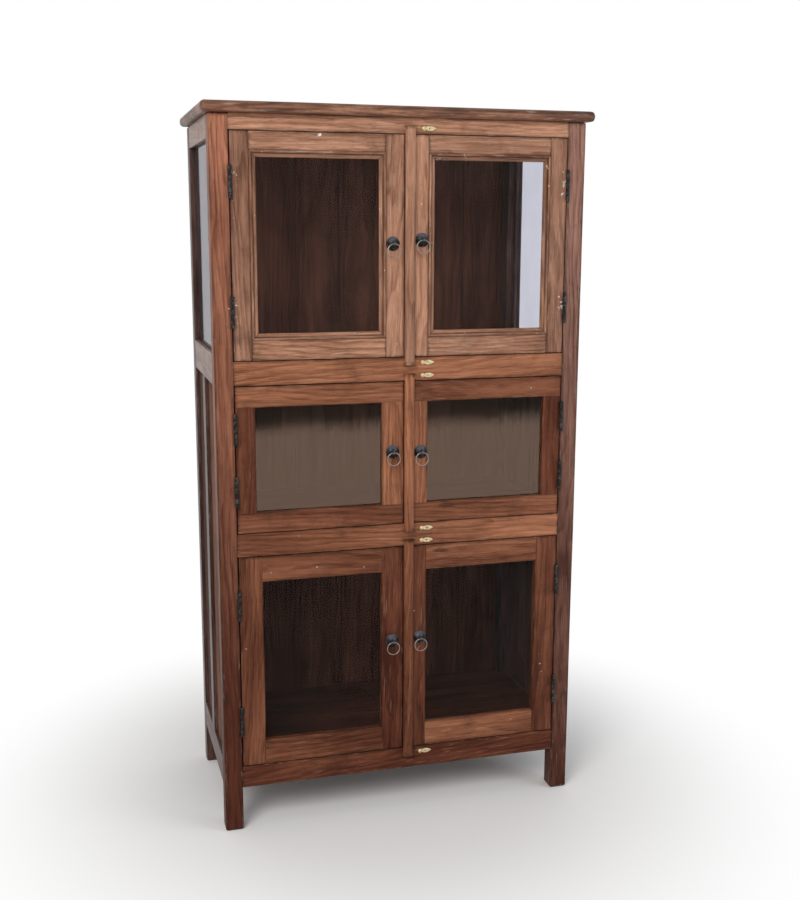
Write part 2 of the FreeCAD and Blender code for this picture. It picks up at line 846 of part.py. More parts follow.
def button_screw(pivot):
    """A plain shank in the rail, with a low domed head in front of the button."""
    under_head = button_thickness + 2 * button_face_clearance
    middle_x, middle_rise = dome_middle(screw_head_radius, screw_head_height)
    rim = Vector(screw_head_radius, -under_head, 0)
    crown = Vector(0, -under_head - screw_head_height, 0)
    edges = [
        Part.Arc(rim, Vector(middle_x, -under_head - middle_rise, 0), crown).toShape(),
        Part.makeLine(crown, Vector(0, -under_head, 0)),
        Part.makeLine(Vector(0, -under_head, 0), rim),
    ]
    head = turned(edges, Vector(0, 1, 0))
    head.translate(Vector(pivot[0], front_y, pivot[1]))
    return joined(screw_shank(pivot), head)


def turn_button(pivot):
    """A leaf-shaped plate with a round tail about its screw, clear of the doors and pointing to the right."""
    half = button_width / 2
    neck = half * button_neck_share
    neck_reach = math.sqrt(button_tail_radius ** 2 - neck ** 2)
    back = front_y - button_face_clearance

    def at(reach, rise):
        return Vector(pivot[0] + reach, back, pivot[1] + rise)

    edges = [
        Part.Arc(at(neck_reach, neck), at(-button_tail_radius, 0), at(neck_reach, -neck)).toShape(),
        Part.Arc(at(neck_reach, -neck), at(button_widest_reach, -half), at(button_tip_reach, 0)).toShape(),
        Part.Arc(at(button_tip_reach, 0), at(button_widest_reach, half), at(neck_reach, neck)).toShape(),
    ]
    plate = Part.Face(Part.Wire(edges)).extrude(Vector(0, -button_thickness, 0))
    toward_front = Vector(0, -1, 0)
    holes = []
    for reach, radius in ((0, screw_radius + screw_clearance), (button_hole_reach, button_hole_radius)):
        start = Vector(pivot[0] + reach, front_y + cut_overrun, pivot[1])
        holes.append(cylinder(radius, button_thickness + 2 * cut_overrun, start, toward_front))
    return without(plate, holes)


# The whole assembly, by node name
def root_nodes():
    nodes = {}
    for side_name, side in sides.items():
        nodes["front_" + side_name + "_post"] = [post(side, True)]
        nodes["back_" + side_name + "_post"] = [post(side, False)]
        nodes[side_name + "_side_frame"] = side_frame(side)
    for name in front_rails:
        nodes[name] = [front_rail(name)]
    for name, top in shelf_levels.items():
        nodes[name] = [shelf(top)]
    nodes["side_panels"] = side_panels()
    nodes["side_glass_panes"] = side_glass()
    nodes["back_rails"] = back_rails()
    nodes["back_boards"] = back_boards()
    nodes["top_board"] = [top_board()]
    hinges = [(side, level) for side in sides.values() for tier in tiers for level in hinge_levels(tier)]
    nodes["fixed_hinge_leaves"] = [hinge_leaf(side, True, level) for side, level in hinges]
    nodes["hinge_pins"] = [hinge_pin(side, level) for side, level in hinges]
    nodes["turn_button_screws"] = [button_screw(pivot) for pivot in button_pivots().values()]
    return nodes


def door_nodes(tier, side_name):
    prefix = tier + "_" + side_name + "_door_"
    side = sides[side_name]
    nodes = {
        prefix + "frame": door_frame(tier, side_name) + door_beads(tier, side_name),
        prefix + "glass": [door_glass(tier, side_name)],
        prefix + "hinge_leaves": [hinge_leaf(side, False, level) for level in hinge_levels(tier)],
        prefix + "pull_boss": [pull_boss(tier, side_name)],
        prefix + "pull_ring": [pull_ring(tier, side_name)],
    }
    if side_name == "right":
        nodes[prefix + "astragal"] = [astragal(tier)]
    return nodes


def all_nodes():
    nodes = root_nodes()
    for tier in tiers:
        for side_name in sides:
            nodes.update(door_nodes(tier, side_name))
    for name, pivot in button_pivots().items():
        nodes[name] = [turn_button(pivot)]
    return nodes


def main():
    os.makedirs("parts", exist_ok=True)
    for name, solids in all_nodes().items():
        shape = solids[0] if len(solids) == 1 else Part.makeCompound(solids)
        shape.exportStep("parts/" + name + ".step")


main()
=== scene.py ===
import cmath
import json
import math

import bmesh
import bpy
import numpy
from mathutils import Matrix, Vector


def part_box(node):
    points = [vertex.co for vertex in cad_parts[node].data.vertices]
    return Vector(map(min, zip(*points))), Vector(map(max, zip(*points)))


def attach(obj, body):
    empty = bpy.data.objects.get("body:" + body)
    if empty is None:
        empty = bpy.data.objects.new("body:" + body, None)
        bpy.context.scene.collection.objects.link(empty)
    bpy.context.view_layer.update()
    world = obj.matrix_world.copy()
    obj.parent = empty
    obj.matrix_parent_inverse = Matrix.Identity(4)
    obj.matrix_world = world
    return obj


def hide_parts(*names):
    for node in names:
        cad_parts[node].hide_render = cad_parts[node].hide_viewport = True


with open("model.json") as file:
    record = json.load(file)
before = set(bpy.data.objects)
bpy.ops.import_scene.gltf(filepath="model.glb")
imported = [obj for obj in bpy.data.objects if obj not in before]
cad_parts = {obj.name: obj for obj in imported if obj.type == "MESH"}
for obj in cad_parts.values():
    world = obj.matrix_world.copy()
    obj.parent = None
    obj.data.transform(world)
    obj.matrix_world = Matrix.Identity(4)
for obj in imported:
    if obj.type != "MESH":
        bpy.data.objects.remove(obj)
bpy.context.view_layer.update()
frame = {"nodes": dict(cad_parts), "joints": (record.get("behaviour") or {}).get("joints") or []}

# All lengths are in metres, in the part's own frame: X to the right, Y to the back, Z up.
X, Y, Z = 0, 1, 2
TIERS = ("upper", "middle", "lower")
SIDES = {"left": -1, "right": 1}
ROOT = "cabinet"

# Where the random draws of each kind of piece start, and how far apart the tiers of doors lie in them
TIER_SEEDS = 10
SEEDS = {
    "posts": 11, "front rails": 31, "top board": 41, "side frames": 51, "side panels": 55, "back rails": 57,
    "back boards": 61, "shelves": 63, "tongues": 67, "fixed leaves": 71, "pins": 72, "doors": 100,
    "door leaves": 200, "astragals": 300, "bosses": 400, "screw heads": 500, "slots": 501, "nail head": 502,
    "button screws": 3, "post screws": 5, "door screws": 7, "nails": 21,
}

# How thickly flecks of old paint lie on each kind of member
FLECKS = {
    "posts": 0.18, "front rails": 0.2, "top board": 0.12, "moulded stiles": 0.28, "plain stiles": 0.2,
    "door rails": 0.22, "moulded beads": 0.5, "plain beads": 0.1, "astragals": 0.25,
}

# Sizes of the woodwork
ARRIS = 0.0016
SOFT_ARRIS = 0.0008
POST_ARRIS = 0.0024
POST_END = 0.004
PLANK_ARRIS = 0.0012
ARRIS_STRIP = 0.005
ARC_STEPS = 3
END_STEPS = 4
STATION_STEP = 0.07
SET_BACK = 0.0003
# How softly an arris is rubbed, as shares of its size: the least, and what chance adds
RUB_LEAST_SHARE, RUB_SPREAD_SHARE = 0.55, 0.9
# The most of an edge that the arris at one end of it takes up
EDGE_SHARE = 0.42
# Where the line of points beside an arris lies, as shares of the arris's reach: the least, and its slack
LEAD_LEAST_SHARE = 1.05
LEAD_SLACK_SHARE = 0.125
# The most of a board's length that a rounded end takes up, and the strip beside it
END_SHARE = 0.2
STRIP_SHARE = 1 / 6
# How far boards lie from the pith of their log, and how far their grain leans and is shifted
PITH_NEAR, PITH_FAR = 0.02, 0.09
GRAIN_TILT = 0.045
GRAIN_SHIFT = 9.0
PLANK_SHIFTS = ((0.0, -0.05, 0.01), (GRAIN_SHIFT, 0.05, 0.06))
PLANK_TONES = (0.05, 0.95)
SHARP_ANGLE = math.radians(32)
LEAST_LENGTH = 1e-9
SOLID_WELD = 1e-5
BUTTON_WELD = 1e-6
TOP_ROUND = 0.010
TOP_PLANKS = 3
SEAM = 0.0002
DOOR_THICKNESS = 0.022
GLASS_LIP = 0.010
LIP_THICKNESS = 0.010
GLASS_THICKNESS = 0.003
GLASS_ROOM = 0.009
BEAD_ROUND = 0.003
BEAD_STEPS = 8
MITRE_MARK = 0.004
MITRE_GRIME = 0.9
QUIRK_WIDTH = 0.0015
QUIRK_DEPTH = 0.0015
QUIRK_WALL = 0.0002
SLOPE_STEPS = 7
SLOPE_SWELL = 1.7
BEAD_WIDTH = 0.016
BEAD_SIGHT_EDGE = 0.002
BEAD_SIGHT_FLAT = 0.001
PLAIN_BEAD_WIDTH = 0.009
PLAIN_BEAD_CHAMFER = 0.003
ASTRAGAL_SIDE = 0.004
ASTRAGAL_END = 0.005
ASTRAGAL_STEPS = 13
MUNTIN_WIDTH = 0.050
SIDE_BEAD = 0.008
SIDE_RAIL_THICKNESS = 0.022
SIDE_BOTTOM_RAIL = 0.068
SIDE_MIDDLE_RAIL = 0.074
SIDE_GLASS_LAP = 0.007
SIDE_GLASS_ROOM = 0.0005
BACK_BOARD_COUNT = 7
BACK_BOARD_SEAM = 0.0012
GROOVE_DEPTH = 0.005
GROOVE_WIDTH = 0.0034
TONGUE_CLEARANCE = 0.0002
SHELF_PLANKS = 4

# Sizes of the ironwork
KNUCKLE_RADIUS = 0.0045
KNUCKLE_BEVEL = 0.0005
KNUCKLE_GAP = 0.0003
KNUCKLES = 3
KNUCKLE_STEPS = 32
KNUCKLE_WEAR = (0.7, 0.5, 0.5, 0.7)
HINGE_LENGTH = 0.075
LEAF_GAP = 0.0004
LEAF_THICKNESS = 0.002
LEAF_REACH = 0.018
# Each screw of a hinge plate: its height from the plate's middle and its depth from the front
LEAF_SCREWS = ((-0.027, 0.008), (0.0, 0.0125), (0.027, 0.008))
PIN_RADIUS = 0.0022
PIN_SHORTFALL = 0.0005
PIN_HEAD_RADIUS = 0.0038
PIN_HEAD_HEIGHT = 0.0025
PIN_STEPS = 28
DOME_STEPS = 7
CROWN_SHARE = 0.15
BOSS_RADIUS = 0.017
BOSS_RIM = 0.0025
BOSS_EDGE = 0.0008
BOSS_FOOT = 0.001
BOSS_DIP = 0.0004
BOSS_GROOVE_SHARES = (2.2, 2.8)
BOSS_WEAR, BOSS_DOME_WEAR = 1.0, 0.3
BOSS_HEIGHT = 0.011
BOSS_STEPS = 56
BOSS_DOME_STEPS = 14
EYE_REACH = 0.015
EYE_RADIUS = 0.0046
EYE_HOLE = 0.0015
EYE_THICKNESS = 0.004
EYE_BEVEL = 0.0006
EYE_STEPS = 18
RING_RADIUS = 0.0163
RING_STEPS = 72
WIRE_RADIUS = 0.0012
WIRE_STEPS = 16
BUTTON_THICKNESS = 0.003
BUTTON_ROUND = 0.0007
BUTTON_ROUND_STEPS = 2
BUTTON_CLEARANCE = 0.0003
BUTTON_HALF = 0.006
TAIL_RADIUS = 0.0055
TAIL_STEPS = 22
NECK_SHARE = 0.58
WIDEST_REACH = 0.014
TIP_REACH = 0.030
LEAF_STEPS = 14
# Each hole of a turn button: its reach along the button and its radius
BUTTON_HOLES = ((0.0, 0.00205), (0.013, 0.0015))
HOLE_STEPS = 20
# Radius and height of a screw's head, width and depth of its slot
BUTTON_SCREW = (0.004, 0.002, 0.0011, 0.0009)
FLAT_SCREW = (0.0030, 0.00012, 0.0008, 0.00009)
SCREW_STEPS = 32
SCREW_FOOT_SHARES = (0.9, -0.5)
CUTTER_SHARE = 1.5
SLOT_ARRIS_SHARE = 0.05
NAIL_RADIUS = 0.0015
NAIL_HEIGHT = 0.0005
NAIL_FOOT = (0.0014, -0.0006)
NAIL_STEPS = 16
NAIL_DOME_STEPS = 5

front_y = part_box("front_left_post")[0].y


# Outlines and lofts
def unit(vectors):
    return vectors / numpy.linalg.norm(vectors, axis=-1, keepdims=True)


def left_of(direction):
    return numpy.array((-direction[1], direction[0]))


def arc(radius, start, end, steps):
    """Points on a circle about 0 from one angle to another."""
    bends = [start + (end - start) * step / steps for step in range(steps + 1)]
    return [(radius * math.cos(bend), radius * math.sin(bend)) for bend in bends]


def inset(corners, distances):
    """The outline with each edge moved inwards; edge i runs from corner i to the next."""
    moved = []
    for i, here in enumerate(corners):
        into = unit(here - corners[i - 1])
        out = unit(corners[(i + 1) % len(corners)] - here)
        walls = numpy.array((left_of(into), left_of(out)))
        moved.append(here + numpy.linalg.solve(walls, (distances[i - 1], distances[i])))
    return numpy.array(moved)


def soft_outline(corners, radii):
    """The outline with its outer corners rounded, and for each point whether it lies on an arris."""
    points, wear = [], []
    for i, here in enumerate(corners):
        before, after = corners[i - 1], corners[(i + 1) % len(corners)]
        into, out = unit(here - before), unit(after - here)
        room = EDGE_SHARE * min(numpy.linalg.norm(here - before), numpy.linalg.norm(after - here))
        turn = math.atan2(into[0] * out[1] - into[1] * out[0], into @ out)
        if turn <= 0 or radii[i] <= 0:
            points.append(here)
            wear.append(0.0)
            continue
        reach = min(radii[i] * math.tan(turn / 2), room)
        radius = reach / math.tan(turn / 2)
        # A line of points on each side keeps the faces beside the arris flat.
        lead = min(reach + ARRIS_STRIP, room + (reach if reach < room else 0.0) * LEAD_SLACK_SHARE)
        lead = max(lead, reach * LEAD_LEAST_SHARE)
        middle = here - into * reach + left_of(into) * radius
        points.append(here - into * lead)
        for step in range(ARC_STEPS + 1):
            bend = turn * step / ARC_STEPS
            points.append(middle - (left_of(into) * math.cos(bend) - into * math.sin(bend)) * radius)
        points.append(here + out * lead)
        wear += [0.0] + [1.0] * (ARC_STEPS + 1) + [0.0]
    return numpy.array(points), numpy.array(wear)


def ring_in_space(axis, at, shape):
    """Points of an outline, drawn across the two axes after this one, set at a place along it."""
    ring = numpy.zeros((len(shape), 3))
    ring[:, axis] = at
    ring[:, (axis + 1) % 3] = shape[:, 0]
    ring[:, (axis + 2) % 3] = shape[:, 1]
    return ring


class Work:
    """Solids gathered into one mesh. Each point carries its place in its own piece's grain, that piece's
    tone, how near it lies to a worn edge, how much old paint clings to it, and how much grime, with
    painted shade in hollows, darkens it."""

    def __init__(self, kind, number=0):
        self.seed = SEEDS[kind] + number
        self.draw = numpy.random.RandomState(self.seed)
        self.points = []
        self.faces = []
        self.marks = {"grain": [], "tone": [], "wear": [], "paint": [], "grime": []}

    def skin(self, rings, wear=0.0, axis=Z, tone=0.5, paint=0.0, grime=0.0, closed=False):
        """Joins a row of point rings into a solid, with its grain along one axis."""
        rings = numpy.asarray(rings, dtype=float)
        stations, count = rings.shape[:2]
        index = len(self.points) + numpy.arange(stations * count).reshape(stations, count)
        points = rings.reshape(-1, 3)
        self.points.extend(points.tolist())
        for mark, given in (("wear", wear), ("paint", paint), ("grime", grime)):
            self.marks[mark].extend(numpy.broadcast_to(given, (stations, count)).ravel().tolist())
        first, second = (axis + 1) % 3, (axis + 2) % 3
        middle = (points.min(axis=0) + points.max(axis=0)) / 2
        along = points[:, axis] - middle[axis]
        start_tone, end_tone = tone if isinstance(tone, tuple) else (tone, tone)
        share = (along - along.min()) / max(numpy.ptp(along), LEAST_LENGTH)
        self.marks["tone"].extend((start_tone + (end_tone - start_tone) * share).tolist())
        turn = self.draw.uniform(0, math.tau)
        reach = self.draw.uniform(PITH_NEAR, PITH_FAR)
        tilt = self.draw.uniform(-GRAIN_TILT, GRAIN_TILT, 2)
        shift = self.draw.uniform(0, GRAIN_SHIFT)
        across = points[:, first] - middle[first] + reach * math.cos(turn) + tilt[0] * along
        deep = points[:, second] - middle[second] + reach * math.sin(turn) + tilt[1] * along
        self.marks["grain"].extend(numpy.stack((along + shift, across, deep), axis=1).tolist())
        for i in range(stations if closed else stations - 1):
            here, there = index[i].tolist(), index[(i + 1) % stations].tolist()
            for j in range(count):
                k = (j + 1) % count
                self.faces.append((here[j], here[k], there[k], there[j]))
        if not closed:
            self.faces.append(tuple(index[0][::-1].tolist()))
            self.faces.append(tuple(index[-1].tolist()))

    def board(self, low, high, axis, arris=ARRIS, end=None, end_steps=1, outline=None, radii=None, held=(),
              tone=0.5, paint=0.0):
        """A board between two corners with its grain along one axis and its arrises worn soft. Its outline,
        if it isn't a rectangle, is drawn across the next two axes in turn; held edges stay square at the
        ends."""
        first, second = (axis + 1) % 3, (axis + 2) % 3
        if outline is None:
            outline = [
                (low[first], low[second]), (high[first], low[second]),
                (high[first], high[second]), (low[first], high[second]),
            ]
        corners = numpy.array(outline, dtype=float)
        radii = numpy.full(len(corners), arris) if radii is None else numpy.array(radii, dtype=float)
        length = high[axis] - low[axis]
        end = min(arris if end is None else end, length * END_SHARE)
        strip = min(ARRIS_STRIP, length * STRIP_SHARE)
        inner = max(1, round((length - 2 * end - 2 * strip) / STATION_STEP))
        # Each station has its place along the board, how far its outline is cut back, and its wear.
        stations = []
        for left, risen in arc(end, 0.0, math.pi / 2, end_steps):
            stations.append((end - left, end - risen, 1.0))
        mirrored = [(length - at, cut, worn) for at, cut, worn in reversed(stations)]
        stations += [(at, 0.0, 0.0) for at in numpy.linspace(end + strip, length - end - strip, inner + 1)]
        stations += mirrored
        rub = self.draw.uniform(0.0, 1.0, (len(stations), len(corners)))
        rub[1:-1] = (rub[:-2] + 2 * rub[1:-1] + rub[2:]) / 4
        shares = numpy.array([0.0 if edge in held else 1.0 for edge in range(len(corners))])
        rings, wear = [], []
        for (at, cut, worn), rubbed in zip(stations, rub):
            softness = radii * (RUB_LEAST_SHARE + RUB_SPREAD_SHARE * rubbed)
            shape, marks = soft_outline(inset(corners, cut * shares), softness)
            rings.append(ring_in_space(axis, low[axis] + at, shape))
            wear.append(numpy.maximum(marks, worn))
        self.skin(rings, wear, axis, tone, paint)

    def strip_run(self, profile, wear, grime, start, along, inward, length, tone, paint):
        """One moulding strip: its profile runs inwards and back, and its ends are mitred."""
        steps = max(2, round(length / STATION_STEP))
        near = MITRE_MARK / length
        rings, marks = [], []
        for share in (0.0, *numpy.linspace(near, 1 - near, steps), 1.0):
            rings.append([
                start + along * (u + share * (length - 2 * u)) + inward * u + numpy.array((0.0, v, 0.0))
                for u, v in profile
            ])
            mitred = MITRE_GRIME if share in (0.0, 1.0) else 0.0
            marks.append(numpy.maximum(grime, mitred) + numpy.zeros(len(profile)))
        self.skin(rings, wear, int(numpy.argmax(numpy.abs(along))), tone, paint, marks)

    def turned(self, profile, place, direction, steps, wear=None, tone=0.5):
        """A turned solid: the profile gives radius and height along the direction."""
        axis = Vector(direction).normalized()
        side = axis.orthogonal().normalized()
        other = axis.cross(side)
        rings = []
        for radius, height in profile:
            middle = Vector(place) + axis * height
            rings.append([middle + side * u + other * v for u, v in arc(radius, 0.0, math.tau, steps)[:-1]])
        marks = 0.0 if wear is None else numpy.array(wear, dtype=float)[:, None]
        self.skin(rings, marks, tone=tone)

    def mesh(self, name):
        mesh = bpy.data.meshes.new(name)
        mesh.from_pydata(self.points, [], self.faces)
        for mark, values in self.marks.items():
            kind, field = ("FLOAT_VECTOR", "vector") if mark == "grain" else ("FLOAT", "value")
            layer = mesh.attributes.new(mark, kind, "POINT")
            layer.data.foreach_set(field, numpy.array(values, dtype=numpy.float32).ravel())
        clean(mesh)
        return mesh


def soften(mesh):
    mesh.polygons.foreach_set("use_smooth", [True] * len(mesh.polygons))
    mesh.set_sharp_from_angle(angle=SHARP_ANGLE)


def clean(mesh, weld=0.0):
    """Joins points that lie within a distance, turns every face outwards and softens the shading."""
    shape = bmesh.new()
    shape.from_mesh(mesh)
    if weld:
        bmesh.ops.remove_doubles(shape, verts=shape.verts, dist=weld)
    bmesh.ops.recalc_face_normals(shape, faces=shape.faces)
    shape.to_mesh(mesh)
    shape.free()
    soften(mesh)


def add(name, data):
    piece = bpy.data.objects.new(name, data)
    bpy.context.collection.objects.link(piece)
    return piece


def dress(mesh, finish):
    mesh.materials.clear()
    mesh.materials.append(finish)


def place(name, shape, finish, body, slot, *nodes):
    """Adds a finished piece that rides on a body, and stands for the CAD nodes that are named."""
    mesh = shape.mesh(name) if isinstance(shape, Work) else shape
    piece = add(name, mesh)
    dress(mesh, finish)
    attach(piece, body)
    if nodes:
        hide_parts(*nodes)


def place_worn(node, shape, finish, body, slot):
    """Adds the worn form of one CAD node."""
    place(node + "_worn", shape, finish, body, slot, node)


def solids_of(node):
    """The lowest and highest corner of each solid in a CAD node."""
    shape = bmesh.new()
    shape.from_mesh(frame["nodes"][node].data)
    bmesh.ops.remove_doubles(shape, verts=shape.verts, dist=SOLID_WELD)
    waiting = set(shape.verts)
    found = []
    while waiting:
        front = [waiting.pop()]
        reached = []
        while front:
            here = front.pop()
            reached.append(tuple(here.co))
            there = {edge.other_vert(here) for edge in here.link_edges} & waiting
            waiting -= there
            front.extend(there)
        spread = numpy.array(reached)
        found.append((spread.min(axis=0), spread.max(axis=0)))
    shape.free()
    return sorted(found, key=lambda box: tuple(numpy.round(box[0], 5)))


# Node trees
class Value:
    """A socket of a node tree. Sums and products of values add Math nodes to the tree."""

    def __init__(self, graph, socket):
        self.graph = graph
        self.socket = socket

    def other(self, output):
        return Value(self.graph, self.socket.node.outputs[output])

    def worked(self, operation, first, second=0.0):
        return self.graph.node("ShaderNodeMath", {0: first, 1: second}, operation=operation)

    def __add__(self, other):
        return self.worked("ADD", self, other)

    __radd__ = __add__

    def __sub__(self, other):
        return self.worked("SUBTRACT", self, other)

    def __rsub__(self, other):
        return self.worked("SUBTRACT", other, self)

    def __mul__(self, other):
        return self.worked("MULTIPLY", self, other)

    __rmul__ = __mul__

    def fraction(self):
        return self.worked("FRACT", self)

    def highest(self, other):
        return self.worked("MAXIMUM", self, other)


class Graph:
    """A node tree, and the methods that add nodes to it."""

    def __init__(self, tree):
        self.tree = tree

    def node(self, kind, sockets=(), output=0, **settings):
        made = self.tree.nodes.new(kind)
        for name, value in settings.items():
            setattr(made, name, value)
        self.join(made, sockets)
        return Value(self, made.outputs[output]) if made.outputs else made

    def join(self, made, sockets):
        for key, value in dict(sockets).items():
            if isinstance(value, Value):
                self.tree.links.new(value.socket, made.inputs[key])
            else:
                made.inputs[key].default_value = value

    def mix(self, factor, first, second):
        return self.node("ShaderNodeMix", {0: factor, 6: first, 7: second}, 2, data_type="RGBA")

    def mix_shaders(self, factor, first, second):
        return self.node("ShaderNodeMixShader", {0: factor, 1: first, 2: second})

    def vectors(self, operation, first, second):
        return self.node("ShaderNodeVectorMath", {0: first, 1: second}, operation=operation)

    def length(self, vector):
        return self.node("ShaderNodeVectorMath", {0: vector}, "Value", operation="LENGTH")

    def stretch(self, vector, shares):
        return self.vectors("MULTIPLY", vector, shares)

    def noise(self, vector, detail=2.0, roughness=0.5, scale=1.0):
        sockets = {"Vector": vector, "Scale": scale, "Detail": detail, "Roughness": roughness}
        return self.node("ShaderNodeTexNoise", sockets)

    def ease(self, value, low, high):
        """0 below low, 1 above high, and a smooth rise between; a low above the high turns it round."""
        sockets = {"Value": value, "From Min": low, "From Max": high}
        return self.node("ShaderNodeMapRange", sockets, interpolation_type="SMOOTHSTEP")

    def attribute(self, name, output="Fac"):
        return self.node("ShaderNodeAttribute", (), output, attribute_name=name)

    def seen(self):
        """1 for rays that show a thing, straight, mirrored or through glass; 0 for those that only light."""
        ray = self.node("ShaderNodeLightPath", (), "Is Camera Ray")
        return ray.highest(ray.other("Is Glossy Ray")).highest(ray.other("Is Transmission Ray"))


class Finish(Graph):
    """A material."""

    def __init__(self, name):
        self.material = bpy.data.materials.new(name)
        self.material.use_nodes = True
        super().__init__(self.material.node_tree)
        self.shader = self.tree.nodes["Principled BSDF"]
        self.own = Value(self, self.shader.outputs[0])
        self.spot = self.node("ShaderNodeTexCoord", (), "Object")

    def give(self, sockets):
        self.join(self.shader, sockets)

    def show(self, shader):
        self.join(self.tree.nodes["Material Output"], {"Surface": shader})

    def bump(self, height, strength, distance):
        return self.node("ShaderNodeBump", {"Height": height, "Strength": strength, "Distance": distance})


def shade(red, green, blue):
    """A colour from its screen values, as the shader's own linear numbers."""
    linear = []
    for value in (red, green, blue):
        share = value / 255
        linear.append(share / 12.92 if share <= 0.04045 else ((share + 0.055) / 1.055) ** 2.4)
    return (*linear, 1.0)


def times(colour, shares):
    return (*[value * share for value, share in zip(colour, shares)], 1.0)


WHITE = (1.0, 1.0, 1.0, 1.0)
PALE_SHARES = (1.62, 1.66, 1.68)
DEEP_SHARES = (0.5, 0.42, 0.37)
OLD_PAINT = shade(214, 206, 196)
RINGS_TO_A_METRE = 80.0


def wood(name, light, dark, worn, grime, dull=0.42, gloss=0.1, chips=(), mottle=0.5):
    """Old varnished timber: growth rings, streaks, fibres, pores and the odd knot along each board's own
    grain, a tone of its own for each board, grime in patches and along the edges, grime with painted shade
    in the hollows of mouldings and grime at their mitres, rubbed arrises and flecks of old paint. Its four
    colours are screen values; the last is the colour of the grime and of the painted shade."""
    light, dark, worn, grime = [shade(*colour) for colour in (light, dark, worn, grime)]
    finish = Finish(name)
    grain = finish.attribute("grain", "Vector")
    tone = finish.attribute("tone")
    wear = finish.attribute("wear")
    paint = finish.attribute("paint")
    # Old paint has chipped off but for flecks about these places, each with its reach and its strength.
    for middle, reach, strength in chips:
        away = finish.vectors("SUBTRACT", finish.spot, middle)
        away = finish.length(finish.stretch(away, [1 / length for length in reach]))
        paint = paint + finish.ease(away, 1.0, 0.2) * strength

    def drawn(along, across, detail=2.0, rough=0.5):
        """Noise drawn out along the grain, by its features to a metre along and across."""
        return finish.noise(finish.stretch(grain, (along, across, across)), detail, rough)

    def strewn(scale, detail, rough):
        return finish.noise(finish.spot, detail, rough, scale)

    heart = finish.stretch(grain, (0.0, 1.0, 1.0))
    saw = (finish.length(heart) * RINGS_TO_A_METRE + drawn(2.2, 12.0, 3.0) * 6.0).fraction()
    late = finish.ease(saw, 0.2, 0.92) * finish.ease(saw, 1.0, 0.93)
    streak = drawn(6.0, 230.0, 5.0, 0.64)
    fibre = drawn(16.0, 560.0, 4.0, 0.6)
    pores = finish.ease(drawn(36.0, 1100.0, 1.0), 0.6, 0.72)
    broad = drawn(2.4, 17.0, 4.0, 0.62)
    figure = 0.38 + late * 0.32 + (streak - 0.5) * 1.0 + (fibre - 0.5) * 1.2 + (broad - 0.5) * 1.6
    plain = finish.mix(figure, times(light, PALE_SHARES), times(light, DEEP_SHARES))
    other = finish.mix(figure, times(dark, PALE_SHARES), times(dark, DEEP_SHARES))
    colour = finish.mix(tone + (broad - 0.5) * mottle, plain, other)
    cell = finish.node("ShaderNodeTexVoronoi", {
        "Vector": finish.stretch(grain, (2.2, 9.0, 9.0)), "Scale": 1.0,
    }, "Distance", feature="F1")
    knots = finish.ease(cell, 0.07, 0.03)
    colour = finish.mix((pores * 0.4).highest(knots * 0.6), colour, grime)
    dirt = finish.ease(strewn(9.0, 6.0, 0.65), 0.52, 0.74)
    colour = finish.mix(dirt * 0.45, colour, grime)
    scratches = finish.ease(drawn(9.0, 420.0, 3.0), 0.58, 0.7)
    patches = finish.ease(strewn(6.0, 3.0, 0.55), 0.46, 0.62)
    colour = finish.mix(scratches * patches * 0.3, colour, worn)
    soiled = wear * finish.ease(drawn(9.0, 90.0, 4.0, 0.6), 0.34, 0.6)
    # In the hollows of a moulding these lines are painted shade as well as grime; at the mitres they are
    # grime.
    lines = finish.attribute("grime") * finish.ease(drawn(7.0, 60.0, 4.0, 0.6), 0.24, 0.5)
    colour = finish.mix((soiled * 0.6).highest(lines * 0.8), colour, grime)
    rubbed = wear * finish.ease(drawn(22.0, 200.0, 4.0, 0.65), 0.54, 0.72)
    colour = finish.mix(rubbed * 0.32, colour, worn)
    flakes = finish.ease(strewn(85.0, 5.0, 0.68) + paint * 0.26, 0.79, 0.82)
    height = fibre * 0.5 + streak * 0.6 - late * 0.2 - pores * 0.8 + flakes * 1.2
    finish.give({
        "Base Color": finish.mix(flakes, colour, OLD_PAINT),
        "Roughness": dull + streak * 0.16 + flakes * 0.2 + dirt * 0.1 - late * 0.06,
        "Specular IOR Level": gloss,
        "Normal": finish.bump(height, 0.32, 0.0005),
    })
    return finish.material


def old_glass(name, tint, bend, dust_colour, dust, dust_patches, mirror=WHITE, sheen=None):
    """Thin old window glass, slightly wavy, with a film of dust that lies in patches. Mirror is the colour
    that its reflections take, and a sheen another such colour for its lower part, with the heights where
    that starts and is full: a painted reflection that grows towards the foot of the pane."""
    finish = Finish(name)
    waves = finish.noise(finish.spot, 1.0, 0.5, 5.0)
    patches = finish.ease(finish.noise(finish.spot, 4.0, 0.6, 7.0), 0.35, 0.75)
    specks = finish.ease(finish.noise(finish.spot, 2.0, 0.5, 260.0), 0.66, 0.8)
    pane = {
        "Base Color": tint,
        "Transmission Weight": 1.0,
        "IOR": bend,
        "Specular Tint": mirror,
        "Roughness": 0.012 + patches * 0.02,
        "Normal": finish.bump(waves, 0.06, 0.004),
    }
    finish.give(pane)
    clear = finish.own
    # Painted reflection: below the given heights the reflections take the sheen colour.
    if sheen:
        sheen_colour, start, full = sheen
        level = finish.node("ShaderNodeSeparateXYZ", {"Vector": finish.spot}, "Z")
        bright = finish.node("ShaderNodeBsdfPrincipled", {**pane, "Specular Tint": sheen_colour})
        clear = finish.mix_shaders(finish.ease(level + (waves - 0.5) * 0.05, start, full), clear, bright)
    cover = dust + patches * dust_patches + specks * 0.03
    # The dust lies on the faces in the open, not inside the glass.
    outside = 1.0 - finish.node("ShaderNodeNewGeometry", (), "Backfacing")
    film = finish.node("ShaderNodeBsdfDiffuse", {"Color": dust_colour})
    finish.show(finish.mix_shaders(cover * outside, clear, film))
    return finish.material


